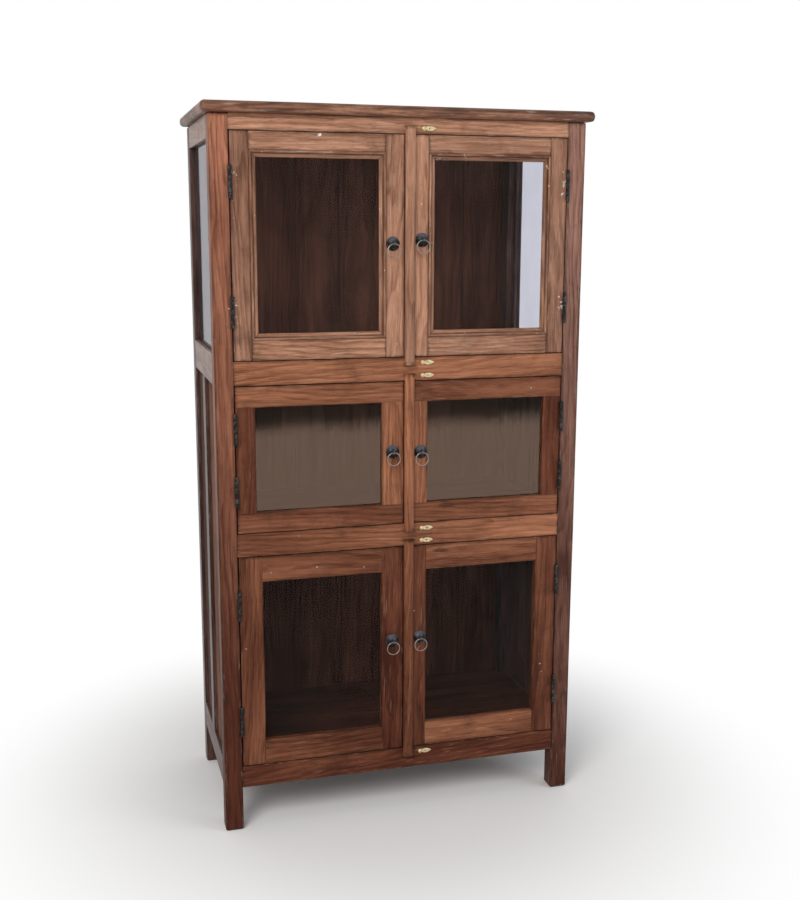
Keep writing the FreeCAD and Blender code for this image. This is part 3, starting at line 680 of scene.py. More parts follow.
def iron(name, colour, bright, rust, dust, dull, rust_share, metal, gloss):
    """Hand-worn metal: dull skin, brighter rubbed edges, spots of rust or tarnish, and dust where its tone
    is high; where the tone rises to the top of a boss, the dust colour is also a painted sheen on its
    upper half."""
    finish = Finish(name)
    wear = finish.attribute("wear")
    pits = finish.noise(finish.spot, 4.0, 0.6, 420.0)
    blotch = finish.noise(finish.spot, 4.0, 0.6, 90.0)
    rubbed = wear * finish.ease(finish.noise(finish.spot, 3.0, 0.6, 160.0), 0.48, 0.66)
    rubbed = rubbed.highest(finish.attribute("paint"))
    # Dust and painted sheen: where the tone is high the skin turns to the pale dust colour, which on the
    # bosses covers their upper half.
    dust_and_sheen_share = finish.ease(finish.attribute("tone") + (blotch - 0.5) * 0.5, 0.58, 0.92)
    spots = finish.ease(blotch, 0.54, 0.68) * rust_share
    skin = finish.mix((rubbed * 0.7).highest(finish.ease(pits, 0.5, 0.8) * 0.12), colour, bright)
    finish.give({
        "Base Color": finish.mix(dust_and_sheen_share * 0.75, finish.mix(spots, skin, rust), dust),
        "Metallic": (metal + rubbed * (0.95 - metal)) * (1.0 - spots * 0.85),
        "Roughness": dull + pits * 0.16 + spots * 0.25 - rubbed * 0.08,
        "Specular IOR Level": gloss,
        "Normal": finish.bump(pits * 0.6 + blotch * 0.6 - spots * 0.3, 0.2, 0.0003),
    })
    return finish.material


# Where more old paint is left: a middle, the reach along each axis, and a strength
HINGE_CHIP_REACH = (0.026, 0.03, 0.058)


def hinge_chips(tier, strength):
    """Old paint about the middle of each hinge of a pair of doors, at the front of the door's edge."""
    found = []
    for side_name, side in SIDES.items():
        for low, high in solids_of(tier + "_" + side_name + "_door_hinge_leaves"):
            middle = (low[X] if side > 0 else high[X], front_y, (low[Z] + high[Z]) / 2)
            found.append((middle, HINGE_CHIP_REACH, strength))
    return found


post_chips = hinge_chips("upper", 0.62)
upper_chips = post_chips + [((-0.2117, front_y, 1.7288), (0.022, 0.02, 0.009), 0.66)]
lower_chips = hinge_chips("lower", 0.3) + [
    ((0.044, front_y, 0.46), (0.024, 0.03, 0.2), 0.36), ((0.39, front_y, 0.42), (0.026, 0.03, 0.22), 0.3),
]

# Finishes
upper_wood = wood(
    "tan_varnished_wood", (166, 122, 97), (110, 79, 67), (200, 180, 164), (60, 38, 29), chips=upper_chips)
top_wood = wood(
    "weathered_top_wood", (160, 114, 90), (78, 48, 36), (196, 176, 162), (46, 30, 24), 0.36, 0.2, mottle=2.4)
lower_wood = wood(
    "red_brown_varnished_wood", (152, 101, 74), (76, 38, 25), (186, 142, 108), (36, 20, 15),
    chips=lower_chips)
post_wood = wood(
    "orange_brown_varnished_wood", (152, 100, 78), (70, 35, 23), (186, 148, 122), (38, 22, 17),
    chips=post_chips)
grey_post_wood = wood(
    "grey_brown_varnished_wood", (152, 114, 101), (70, 38, 27), (190, 164, 146), (38, 24, 19),
    chips=post_chips)
side_wood = wood("brown_side_wood", (132, 104, 92), (68, 48, 43), (164, 150, 143), (44, 32, 28), 0.3)
panel_wood = wood("dull_panel_wood", (112, 80, 68), (78, 58, 53), (150, 126, 114), (44, 32, 28), 0.75, 0.05)
inner_wood = wood("dark_inner_wood", (96, 58, 44), (46, 27, 23), (118, 84, 64), (20, 13, 11), 0.6, 0.06)
# Its pale bluish dust colour paints the sheen on the upper half of each boss, as well as dust.
black_iron = iron(
    "black_iron", (0.006, 0.006, 0.007, 1.0), shade(120, 118, 118), shade(40, 26, 19), shade(92, 96, 108),
    0.3, 0.35, 0.0, 0.16)
worn_steel = iron(
    "worn_steel", shade(142, 134, 128), shade(232, 228, 224), shade(96, 66, 46), shade(160, 156, 152),
    0.24, 0.5, 0.92, 0.5)
aged_brass = iron(
    "aged_brass", shade(196, 176, 136), shade(232, 220, 190), shade(110, 84, 54), shade(170, 154, 124),
    0.36, 0.5, 0.85, 0.5)
clear_glass = old_glass(
    "upper_window_glass", (0.95, 0.96, 0.95, 1.0), 1.12, shade(140, 126, 116), 0.01, 0.015)
# Painted reflection: faint dark reflections above and a strong warm sheen in the lower part of each pane, as
# if it mirrored a bright floor.
sheen_glass = old_glass(
    "middle_window_glass", (0.9, 0.9, 0.88, 1.0), 1.7, shade(122, 98, 84), 0.01, 0.03,
    (0.08, 0.07, 0.06, 1.0), ((1.0, 0.66, 0.5, 1.0), 1.068, 1.012))
dark_glass = old_glass(
    "lower_window_glass", (0.84, 0.85, 0.85, 1.0), 1.12, shade(110, 100, 96), 0.005, 0.012)
side_glass = old_glass(
    "side_window_glass", (0.66, 0.66, 0.76, 1.0), 1.06, shade(120, 120, 128), 0.06, 0.06)


# Carcass
# A tone runs from 0, the pale boards, to 1, the dark ones; a pair runs from a board's low end to its high.
POSTS = {
    "front_left_post": (post_wood, (1.3, 0.06)), "front_right_post": (grey_post_wood, (1.0, 0.28)),
    "back_left_post": (side_wood, 1.0), "back_right_post": (side_wood, 1.0),
}
for number, (node, (finish, tone)) in enumerate(POSTS.items()):
    post = Work("posts", number)
    post.board(*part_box(node), Z, POST_ARRIS, POST_END, tone=tone, paint=FLECKS["posts"])
    place_worn(node, post, finish, ROOT, "post_wood")

post_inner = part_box("front_right_post")[0].x
FRONT_RAILS = {
    "top_front_rail": (upper_wood, "upper_door_wood", 0.18),
    "upper_front_rail": (lower_wood, "upper_door_wood", (0.17, 0.34)),
    "lower_front_rail": (lower_wood, "lower_door_wood", (0.72, 0.18)),
    "bottom_front_rail": (lower_wood, "lower_door_wood", 0.95),
}
for number, (node, (finish, slot, tone)) in enumerate(FRONT_RAILS.items()):
    low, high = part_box(node)
    near, far = (-post_inner, low.y + SET_BACK, low.z), (post_inner, high.y, high.z)
    rail = Work("front rails", number)
    rail.board(near, far, X, tone=tone, paint=FLECKS["front rails"])
    place_worn(node, rail, finish, ROOT, slot)

top_low, top_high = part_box("top_board")
plank_depth = (top_high.y - top_low.y) / TOP_PLANKS
top = Work("top board")
for number in range(TOP_PLANKS):
    in_front = number == 0
    near = top_low.y + plank_depth * number
    far = near + plank_depth
    # The outline runs across Y and then Z: front bottom, back bottom, back top, front top.
    front_round = TOP_ROUND if in_front else SOFT_ARRIS
    top.board(
        (top_low.x, near if in_front else near + SEAM, top_low.z), (top_high.x, far, top_high.z), X,
        end=TOP_ROUND, end_steps=END_STEPS, radii=(front_round, SOFT_ARRIS, SOFT_ARRIS, front_round),
        held=(1,) if in_front else (1, 3), tone=(0.25, 0.55) if in_front else 0.75,
        paint=FLECKS["top board"])
place_worn("top_board", top, top_wood, ROOT, "upper_door_wood")

rail_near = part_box("front_left_post")[1].y
rail_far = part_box("back_left_post")[0].y


def side_rail_outline(bottom, top, outer, inner, seat, glass):
    """A side rail across Z and X, cut back on its inside where the glass sits."""
    points = [(bottom, outer), (top, outer), (top, inner), (bottom, inner)]
    if glass == "above":
        cut = top - SIDE_GLASS_LAP
        points[2:3] = [(top, seat), (cut, seat), (cut, inner)]
    elif glass == "below":
        cut = bottom + SIDE_GLASS_LAP
        points[3:4] = [(cut, inner), (cut, seat), (bottom, seat)]
    return points if outer < inner else points[::-1]


for side_name, side in SIDES.items():
    node = side_name + "_side_frame"
    work = Work("side frames", side)
    low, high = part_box(node)
    pane_low, pane_high = [box for box in solids_of("side_glass_panes") if box[0][X] * side > 0][0]
    outer, bead_in = (low.x, high.x)[::-side]
    seat, bead_out = (pane_low[X], pane_high[X])[::-side]
    inner = outer - side * SIDE_RAIL_THICKNESS
    sill = pane_low[Z] - SIDE_GLASS_ROOM + SIDE_GLASS_LAP
    head = pane_high[Z] + SIDE_GLASS_ROOM - SIDE_GLASS_LAP
    # Bottom and top of each rail, where the glass lies from it, and its tone
    side_rails = (
        (low.z, low.z + SIDE_BOTTOM_RAIL, "", 0.8), (sill - SIDE_MIDDLE_RAIL, sill, "above", 0.12),
        (head, high.z, "below", 0.0),
    )
    for bottom, top_level, glass, tone in side_rails:
        outline = side_rail_outline(bottom, top_level, outer - side * SET_BACK, inner, seat, glass)
        work.board((0, rail_near, 0), (0, rail_far, 0), Y, tone=tone, outline=outline)
    left, right = sorted((outer, inner))
    middle, half = (rail_near + rail_far) / 2, MUNTIN_WIDTH / 2
    low_end, high_end = side_rails[0][1], side_rails[1][0]
    work.board((left, middle - half, low_end), (right, middle + half, high_end), Z, tone=0.95)
    # Four beads hold the glass from inside.
    left, right = sorted((bead_out, bead_in))
    bottom, top_level = pane_low[Z], pane_high[Z]
    near, far = rail_near + SIDE_BEAD, rail_far - SIDE_BEAD
    for start, low_end, end, high_end, axis in (
        (rail_near, bottom, near, top_level, Z), (far, bottom, rail_far, top_level, Z),
        (near, bottom, far, bottom + SIDE_BEAD, Y), (near, top_level - SIDE_BEAD, far, top_level, Y),
    ):
        work.board((left, start, low_end), (right, end, high_end), axis, SOFT_ARRIS, tone=0.9)
    place_worn(node, work, side_wood, ROOT, "side_wood")

panels = Work("side panels")
for (low, high), tone in zip(solids_of("side_panels"), (0.0, 1.0, 0.1, 0.9)):
    panels.board(low, high, Z, SOFT_ARRIS, tone=tone)
place_worn("side_panels", panels, panel_wood, ROOT, "side_wood")

rails_behind = Work("back rails")
for low, high in solids_of("back_rails"):
    near, far = (-post_inner, low[Y], low[Z]), (post_inner, high[Y] - SET_BACK, high[Z])
    rails_behind.board(near, far, X, tone=0.4)
place_worn("back_rails", rails_behind, inner_wood, ROOT, "inner_wood")


# Geometry Nodes
def new_tree(name, inputs):
    """An empty tree with named inputs, the function that gives each of them, and their identifiers."""
    tree = bpy.data.node_groups.new(name, "GeometryNodeTree")
    names = {}
    for label, kind in {**inputs, "Material": "Material"}.items():
        socket = tree.interface.new_socket(name=label, in_out="INPUT", socket_type="NodeSocket" + kind)
        names[label] = socket.identifier
    tree.interface.new_socket(name="Geometry", in_out="OUTPUT", socket_type="NodeSocketGeometry")
    graph = Graph(tree)
    return graph, graph.node("NodeGroupInput").other, names


def close_tree(graph, geometry, material):
    realized = graph.node("GeometryNodeRealizeInstances", {"Geometry": geometry})
    painted = graph.node("GeometryNodeSetMaterial", {"Geometry": realized, "Material": material})
    graph.node("NodeGroupOutput", {0: painted})


def named(graph, name):
    return graph.node("GeometryNodeInputNamedAttribute", {"Name": name}, data_type="FLOAT_VECTOR")


def stored(graph, geometry, name, value, data_type, domain):
    sockets = {"Geometry": geometry, "Name": name, "Value": value}
    return graph.node("GeometryNodeStoreNamedAttribute", sockets, data_type=data_type, domain=domain)


def plank_row_tree():
    """Lays copies of one plank side by side; each copy gets its own stretch of grain and its own tone."""
    graph, given, names = new_tree("plank_row", {
        "Plank": "Object", "Count": "Int", "Pitch": "Vector", "Seed": "Int",
    })
    sockets = {"Count": given("Count"), "Offset": given("Pitch")}
    line = graph.node("GeometryNodeMeshLine", sockets, mode="OFFSET")
    plank = graph.node("GeometryNodeObjectInfo", {"Object": given("Plank")}, "Geometry")
    row = graph.node("GeometryNodeInstanceOnPoints", {"Points": line, "Instance": plank})
    sockets = {0: PLANK_SHIFTS[0], 1: PLANK_SHIFTS[1], "Seed": given("Seed")}
    shift = graph.node("FunctionNodeRandomValue", sockets, data_type="FLOAT_VECTOR")
    sockets = {2: PLANK_TONES[0], 3: PLANK_TONES[1], "Seed": given("Seed")}
    tone = graph.node("FunctionNodeRandomValue", sockets, 1, data_type="FLOAT")
    row = stored(graph, row, "shift", shift, "FLOAT_VECTOR", "INSTANCE")
    row = stored(graph, row, "tone", tone, "FLOAT", "INSTANCE")
    row = graph.node("GeometryNodeRealizeInstances", {"Geometry": row})
    grain = graph.vectors("ADD", named(graph, "grain"), named(graph, "shift"))
    close_tree(graph, stored(graph, row, "grain", grain, "FLOAT_VECTOR", "POINT"), given("Material"))
    return graph.tree, names


def head_tree():
    """Sets one head on each point, facing the way that the point says, with a turn of its own."""
    graph, given, names = new_tree("fastener_heads", {
        "Points": "Geometry", "Head": "Object", "Seed": "Int",
    })
    facing = named(graph, "facing")
    aligned = graph.node("FunctionNodeAlignRotationToVector", {"Vector": facing}, axis="Z")
    sockets = {0: (0.0, 0.0, 0.0), 1: (0.0, 0.0, math.pi), "Seed": given("Seed")}
    angle = graph.node("FunctionNodeRandomValue", sockets, data_type="FLOAT_VECTOR")
    spin = graph.node("FunctionNodeEulerToRotation", {0: angle})
    turned = graph.node("FunctionNodeRotateRotation", {0: aligned, 1: spin}, rotation_space="LOCAL")
    head = graph.node("GeometryNodeObjectInfo", {"Object": given("Head")}, "Geometry")
    sockets = {"Points": given("Points"), "Instance": head, "Rotation": turned}
    heads = graph.node("GeometryNodeInstanceOnPoints", sockets)
    close_tree(graph, heads, given("Material"))
    return graph.tree, names


def ring_tree():
    """A wire ring: a round profile swept along a circle that stands upright."""
    graph, given, names = new_tree("pull_ring", {
        "Ring radius": "Float", "Wire radius": "Float", "Middle": "Vector",
    })
    circle = "GeometryNodeCurvePrimitiveCircle"
    path = graph.node(circle, {"Resolution": RING_STEPS, "Radius": given("Ring radius")})
    wire = graph.node(circle, {"Resolution": WIRE_STEPS, "Radius": given("Wire radius")})
    swept = graph.node("GeometryNodeCurveToMesh", {"Curve": path, "Profile Curve": wire})
    stood = graph.node("GeometryNodeTransform", {
        "Geometry": swept, "Translation": given("Middle"), "Rotation": (math.pi / 2, 0.0, 0.0),
    })
    smooth = graph.node("GeometryNodeSetShadeSmooth", {"Geometry": stood})
    close_tree(graph, smooth, given("Material"))
    return graph.tree, names


def evaluated(name, holder):
    """The plain mesh that an object's modifiers or curves make; the object itself goes."""
    graph = bpy.context.evaluated_depsgraph_get()
    graph.update()
    mesh = bpy.data.meshes.new_from_object(holder.evaluated_get(graph))
    mesh.name = name
    holder.modifiers.clear()
    bpy.data.objects.remove(holder)
    return mesh


def grown(name, tree, inputs, base=None):
    """The plain mesh that a tree makes from a base mesh with these inputs."""
    holder = add(name + "_holder", base or bpy.data.meshes.new(name + "_base"))
    modifier = holder.modifiers.new("tree", "NODES")
    modifier.node_group, names = tree
    for label, value in inputs.items():
        modifier[names[label]] = value
    holder.update_tag()
    return evaluated(name, holder)


plank_rows = plank_row_tree()
heads = head_tree()
rings = ring_tree()


# Rows of planks
def grooved_outline(low, high):
    """An upright board across X and then Y, with a groove along each edge."""
    middle = (low.y + high.y) / 2
    near, far = middle - GROOVE_WIDTH / 2, middle + GROOVE_WIDTH / 2
    left, right = low.x + GROOVE_DEPTH, high.x - GROOVE_DEPTH
    return [
        (low.x, low.y), (high.x, low.y), (high.x, near), (right, near), (right, far), (high.x, far),
        (high.x, high.y), (low.x, high.y), (low.x, far), (left, far), (left, near), (low.x, near),
    ]


def plank_row(node, axis, count, seam, work):
    """Replaces a CAD node by a row of planks along one axis: level ones side by side in Y, or upright and
    grooved ones side by side in X. Gives the row's two corners and its pitch."""
    low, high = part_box(node)
    upright = axis == Z
    side = X if upright else Y
    pitch = Vector((0.0, 0.0, 0.0))
    pitch[side] = (high[side] - low[side] + seam) / count
    far = high.copy()
    far[side] = low[side] + pitch[side] - seam
    work.board(low, far, axis, PLANK_ARRIS, outline=grooved_outline(low, far) if upright else None)
    plank = add(node + "_plank", work.mesh(node + "_plank"))
    name = node + "_planks"
    mesh = grown(name, plank_rows, {
        "Plank": plank, "Count": count, "Pitch": pitch, "Seed": work.seed, "Material": inner_wood,
    })
    bpy.data.objects.remove(plank)
    soften(mesh)
    place(name, mesh, inner_wood, ROOT, "inner_wood", node)
    return low, high, pitch


low, high, pitch = plank_row("back_boards", Z, BACK_BOARD_COUNT, BACK_BOARD_SEAM, Work("back boards"))
tongues = Work("tongues")
middle = (low.y + high.y) / 2
half = GROOVE_WIDTH / 2 - TONGUE_CLEARANCE
reach = BACK_BOARD_SEAM / 2 + GROOVE_DEPTH - TONGUE_CLEARANCE
for number in range(1, BACK_BOARD_COUNT):
    seam_x = low.x + pitch.x * number - BACK_BOARD_SEAM / 2
    near, far = (seam_x - reach, middle - half, low.z), (seam_x + reach, middle + half, high.z)
    tongues.board(near, far, Z, SOFT_ARRIS, tone=0.9)
place("back_board_tongues", tongues, inner_wood, ROOT, "inner_wood")
for number, node in enumerate(("upper_shelf", "lower_shelf", "floor_board")):
    plank_row(node, X, SHELF_PLANKS, SEAM, Work("shelves", number))


# Doors
DOOR_WOODS = {
    "upper": (upper_wood, "upper_door_wood"), "middle": (lower_wood, "lower_door_wood"),
    "lower": (lower_wood, "lower_door_wood"),
}
DOOR_GLASS = {"upper": clear_glass, "middle": sheen_glass, "lower": dark_glass}
# Left stile, right stile, bottom rail and top rail of each door
MEMBER_TONES = {
    "upper_left": (0.65, 0.42, 0.08, 0.4), "upper_right": (0.28, 0.62, 0.45, 0.48),
    "middle_left": (0.9, 0.26, 0.74, 0.45), "middle_right": (0.42, 0.95, 0.65, 0.74),
    "lower_left": (0.72, 0.95, 0.78, 0.67), "lower_right": (0.88, 0.84, 0.52, 0.54),
}
BEAD_TONES = (0.3, 0.35, 0.05, 0.15)
ASTRAGAL_TONES = {"upper": (0.6, 0.4), "middle": (0.4, 0.2), "lower": (0.75, 0.5)}
# Grime and painted shade at each point of the moulded profile, densest in its hollows
MOULDED_GRIME_AND_SHADE = (
    1.0, 0.5, 0.0, 0.0, 0.0, 0.0, 0.2, 0.7, 1.0, 1.0, 1.0, 0.8, 0.3, 0.0, 0.0, 0.0, 0.0, 0.3, 0.7, 1.0, 1.0,
)


def moulded_profile():
    """A round bead, a quirk and a swelling slope down to the glass: points inwards and back, their wear and
    their grime with painted shade."""
    seat = DOOR_THICKNESS - LIP_THICKNESS - GLASS_THICKNESS
    bead = arc(BEAD_ROUND, 0.0, math.pi, BEAD_STEPS)
    points = [(BEAD_ROUND - across, -rise) for across, rise in bead]
    wear = [rise / BEAD_ROUND for across, rise in bead]
    quirk_end = 2 * BEAD_ROUND + QUIRK_WIDTH
    points += [(2 * BEAD_ROUND + QUIRK_WALL, QUIRK_DEPTH), (quirk_end, QUIRK_DEPTH)]
    wear += [0.0, 0.0]
    slope_width = BEAD_WIDTH - BEAD_SIGHT_FLAT - quirk_end
    slope_low = seat - BEAD_SIGHT_EDGE
    for step in range(1, SLOPE_STEPS + 1):
        share = step / SLOPE_STEPS
        sunk = QUIRK_DEPTH + (slope_low - QUIRK_DEPTH) * share ** SLOPE_SWELL
        points.append((quirk_end + slope_width * share, sunk))
        wear.append(0.5 * math.sin(math.pi * share))
    points += [(BEAD_WIDTH, slope_low), (BEAD_WIDTH, seat), (0.0, seat)]
    wear += [0.8, 0.0, 0.0]
    return points, wear, MOULDED_GRIME_AND_SHADE


def plain_profile():
    """A flat bead with a chamfer, behind the glass."""
    seat = LIP_THICKNESS + GLASS_THICKNESS
    back = DOOR_THICKNESS - SET_BACK
    points = [
        (0.0, seat), (PLAIN_BEAD_WIDTH, seat), (PLAIN_BEAD_WIDTH, back - PLAIN_BEAD_CHAMFER),
        (PLAIN_BEAD_WIDTH - PLAIN_BEAD_CHAMFER, back), (0.0, back),
    ]
    return points, [0.0, 0.0, 0.6, 0.6, 0.0], 0.0


def door_members(tier, side_name, work):
    """Stiles and rails with their rebates, and the beads mitred round the glass."""
    door = tier + "_" + side_name
    low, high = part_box(door + "_door_frame")
    pane_low, pane_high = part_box(door + "_door_glass")
    moulded = tier == "upper"
    rails_through = tier == "middle"
    back_y = front_y + DOOR_THICKNESS
    light = [(pane_low[axis] + GLASS_ROOM, pane_high[axis] - GLASS_ROOM) for axis in (X, Z)]
    cleared = [(near - GLASS_LIP, far + GLASS_LIP) for near, far in light]
    # The narrow step of the rebate lies behind in a moulded door, and in front in a plain one.
    front_hole, back_hole = (cleared, light) if moulded else (light, cleared)
    step = back_y - LIP_THICKNESS if moulded else front_y + LIP_THICKNESS
    marks = (ARRIS, ARRIS, SOFT_ARRIS, SOFT_ARRIS, SOFT_ARRIS, ARRIS)
    for number, tone in enumerate(MEMBER_TONES[door]):
        upright, end = number < 2, number % 2
        set_back = SET_BACK if upright == rails_through else 0.0
        near, far = front_y + set_back, back_y - set_back
        across = 0 if upright else 1
        edge = ((low.x, high.x), (low.z, high.z))[across][end]
        front, back = front_hole[across][end], back_hole[across][end]
        spans = (cleared[1], (low.x, high.x)) if rails_through else ((low.z, high.z), cleared[0])
        if upright:
            outline = [(edge, near), (front, near), (front, step), (back, step), (back, far), (edge, far)]
            flecks = "moulded stiles" if moulded else "plain stiles"
        else:
            outline = [(near, edge), (far, edge), (far, back), (step, back), (step, front), (near, front)]
            flecks = "door rails"
        axis = Z if upright else X
        ends = numpy.zeros((2, 3))
        ends[:, axis] = spans[across]
        order = -1 if end else 1
        work.board(
            *ends, axis, outline=outline[::order], radii=marks[::order], tone=tone, paint=FLECKS[flecks])
    profile, wear, grime = moulded_profile() if moulded else plain_profile()
    right, up = numpy.array((1.0, 0.0, 0.0)), numpy.array((0.0, 0.0, 1.0))
    width, height = cleared[0][1] - cleared[0][0], cleared[1][1] - cleared[1][0]
    corner = numpy.array((cleared[0][0], front_y, cleared[1][0]))
    runs = (
        (corner, right, up, width), (corner + up * height, right, -up, width),
        (corner, up, right, height), (corner + right * width, up, -right, height),
    )
    flecks = FLECKS["moulded beads" if moulded else "plain beads"]
    for run, tone in zip(runs, BEAD_TONES):
        work.strip_run(profile, wear, grime, *run, tone, flecks)


def astragal_outline(low, high):
    """A strip with a round front, drawn across X and then Y."""
    shoulder = high.y - ASTRAGAL_SIDE
    half = (high.x - low.x) / 2
    rise = shoulder - low.y
    radius = (half * half + rise * rise) / (2 * rise)
    reach = math.asin(half / radius)
    front = arc(radius, -math.pi / 2 - reach, -math.pi / 2 + reach, ASTRAGAL_STEPS)[1:-1]
    front = [(low.x + half + across, low.y + radius + back) for across, back in front]
    points = [(high.x, high.y), (low.x, high.y), (low.x, shoulder), *front, (high.x, shoulder)]
    return points[::-1]


# Hinges
def hinge_leaf(work, joint_x, joint_y, level, on_post):
    """A plate let into the post or the door, with its own knuckles round the pin. Gives the places of its
    screws, with the way that each faces."""
    side = math.copysign(1.0, joint_x) * (1 if on_post else -1)
    face = joint_x + side * LEAF_GAP / 2
    left, right = sorted((face, face + side * LEAF_THICKNESS))
    bottom = level - HINGE_LENGTH / 2
    span = (HINGE_LENGTH - (KNUCKLES - 1) * KNUCKLE_GAP) / KNUCKLES
    radius, bevel = KNUCKLE_RADIUS, KNUCKLE_BEVEL
    profile = [(radius - bevel, 0.0), (radius, bevel), (radius, span - bevel), (radius - bevel, span)]
    for step in range(0 if on_post else 1, KNUCKLES, 2):
        start = bottom + (span + KNUCKLE_GAP) * step
        work.turned(profile, (joint_x, joint_y, start), (0, 0, 1), KNUCKLE_STEPS, KNUCKLE_WEAR)
        # The neck of the plate wraps towards its knuckle.
        neck_low, neck_high = start + KNUCKLE_GAP, start + span - KNUCKLE_GAP
        work.board((left, joint_y, neck_low), (right, front_y + KNUCKLE_GAP, neck_high), Y, KNUCKLE_GAP)
    far = front_y + LEAF_REACH
    work.board((left, front_y, bottom), (right, far, bottom + HINGE_LENGTH), Z, KNUCKLE_GAP)
    way = Vector((-side, 0.0, 0.0))
    return [(Vector((face, front_y + depth, level + rise)), way) for rise, depth in LEAF_SCREWS]


def dome(radius, height, steps=DOME_STEPS, foot=0.0):
    """The profile of a low domed head, from its rim almost to its crown."""
    ball = (radius * radius + height * height) / (2 * height)
    reach = math.asin(min(1.0, radius / ball))
    profile = []
    for step in range(steps):
        bend = reach * (1 - step / (steps - 1 + CROWN_SHARE))
        profile.append((ball * math.sin(bend), foot + ball * math.cos(bend) - (ball - height)))
    return profile


joints = {joint["name"]: joint["pos_m"] for joint in frame["joints"]}
fixed_leaves = Work("fixed leaves")
pins = Work("pins")
pin_profile = [(PIN_RADIUS, PIN_SHORTFALL - HINGE_LENGTH)] + dome(PIN_HEAD_RADIUS, PIN_HEAD_HEIGHT)
post_screws = []
door_screws = {}
for number, tier in enumerate(TIERS):
    finish, slot = DOOR_WOODS[tier]
    for side_name, side in SIDES.items():
        door = tier + "_" + side_name + "_door"
        work = Work("doors", TIER_SEEDS * number + side)
        door_members(tier, side_name, work)
        place_worn(door + "_frame", work, finish, door, slot)
        dress(frame["nodes"][door + "_glass"].data, DOOR_GLASS[tier])
        axis_x, axis_y = joints[door + "_hinge"][:2]
        leaves = Work("door leaves", TIER_SEEDS * number + side)
        door_screws[door] = []
        for low, high in solids_of(door + "_hinge_leaves"):
            level = (low[Z] + high[Z]) / 2
            door_screws[door] += hinge_leaf(leaves, axis_x, axis_y, level, False)
            post_screws += hinge_leaf(fixed_leaves, axis_x, axis_y, level, True)
            crown = (axis_x, axis_y, level + HINGE_LENGTH / 2)
            pins.turned(pin_profile, crown, (0, 0, 1), PIN_STEPS, [0.0] + [1.0] * DOME_STEPS)
        place_worn(door + "_hinge_leaves", leaves, black_iron, door, "black_iron")
    # The right leaf carries the astragal.
    door = tier + "_right_door"
    low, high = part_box(door + "_astragal")
    outline = astragal_outline(low, high)
    strip = Work("astragals", number)
    strip.board(
        low, high, Z, end=ASTRAGAL_END, end_steps=END_STEPS, outline=outline, radii=[0.0] * len(outline),
        held=(len(outline) - 1,), tone=ASTRAGAL_TONES[tier], paint=FLECKS["astragals"])
    place_worn(door + "_astragal", strip, finish, door, slot)

place_worn("fixed_hinge_leaves", fixed_leaves, black_iron, ROOT, "black_iron")
place_worn("hinge_pins", pins, black_iron, ROOT, "black_iron")


# Ring pulls
def eye_outline():
    """The side view of the eye: a neck from the boss that ends round, drawn across Y and Z about its hole."""
    neck = EYE_REACH - BOSS_RIM
    end = arc(EYE_RADIUS, math.pi / 2, 3 * math.pi / 2, EYE_STEPS)
    return numpy.array([(neck, EYE_RADIUS), *end, (neck, -EYE_RADIUS)])


def add_eye(work, x, y, z):
    """The eye as a plate with a round hole: walls of points outside and inside, joined face by face."""
    outer = eye_outline()
    inner = EYE_HOLE * unit(outer)
    outer_cut = outer - unit(outer) * EYE_BEVEL
    inner_cut = inner + unit(inner) * EYE_BEVEL
    half = EYE_THICKNESS / 2
    flat = half - EYE_BEVEL
    sections = (
        (-half, outer_cut), (-flat, outer), (flat, outer), (half, outer_cut),
        (half, inner_cut), (flat, inner), (-flat, inner), (-half, inner_cut),
    )
    walls = [ring_in_space(X, x + at, shape + (y, z)) for at, shape in sections]
    work.skin(walls, 1.0, paint=0.9, closed=True)


groove_out, groove_in = [BOSS_RADIUS - share * BOSS_EDGE for share in BOSS_GROOVE_SHARES]
boss_rim = [
    (BOSS_RADIUS - BOSS_FOOT, 0.0), (BOSS_RADIUS, BOSS_DIP), (BOSS_RADIUS, BOSS_RIM - BOSS_EDGE),
    (BOSS_RADIUS - BOSS_EDGE, BOSS_RIM), (groove_out, BOSS_RIM - BOSS_DIP),
]
boss_dome = dome(groove_in, BOSS_HEIGHT - BOSS_RIM, BOSS_DOME_STEPS, BOSS_RIM)
boss_wear = [BOSS_WEAR] * len(boss_rim) + [BOSS_DOME_WEAR] * len(boss_dome)
for number, tier in enumerate(TIERS):
    for side_name, side in SIDES.items():
        door = tier + "_" + side_name + "_door"
        low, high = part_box(door + "_pull_boss")
        x, y, z = (low + high) / 2
        boss = Work("bosses", TIER_SEEDS * number + side)
        # The tone rises from the foot of the boss to its top, so its upper half takes a painted sheen in the
        # dust colour.
        boss.turned(boss_rim + boss_dome, (x, front_y, z), (0, -1, 0), BOSS_STEPS, boss_wear, (0.0, 1.0))
        add_eye(boss, x, front_y - EYE_REACH, z)
        place_worn(door + "_pull_boss", boss, black_iron, door, "black_iron")
        name = door + "_pull_ring"
        mesh = grown(name + "_worn", rings, {
            "Ring radius": RING_RADIUS, "Wire radius": WIRE_RADIUS,
            "Middle": Vector((x, front_y - EYE_REACH, z - RING_RADIUS)), "Material": worn_steel,
        })
        place_worn(name, mesh, worn_steel, name, "worn_steel")


# Turn buttons, screws and nails
def arc_through(first, second, third, steps):
    """Points on the arc from the first point through the second, and up to the third but not on it."""
    start, through, finish = complex(*first), complex(*second), complex(*third)
    ratio = (finish - start) / (through - start)
    middle = start + (through - start) * (ratio - abs(ratio) ** 2) / (2j * ratio.imag)
    sweep = cmath.phase((finish - middle) / (start - middle)) % math.tau
    if cmath.phase((through - middle) / (start - middle)) % math.tau > sweep:
        sweep -= math.tau
    turns = [cmath.exp(1j * sweep * step / steps) for step in range(steps)]
    points = [middle + (start - middle) * turn for turn in turns]
    return [(point.real, point.imag) for point in points]


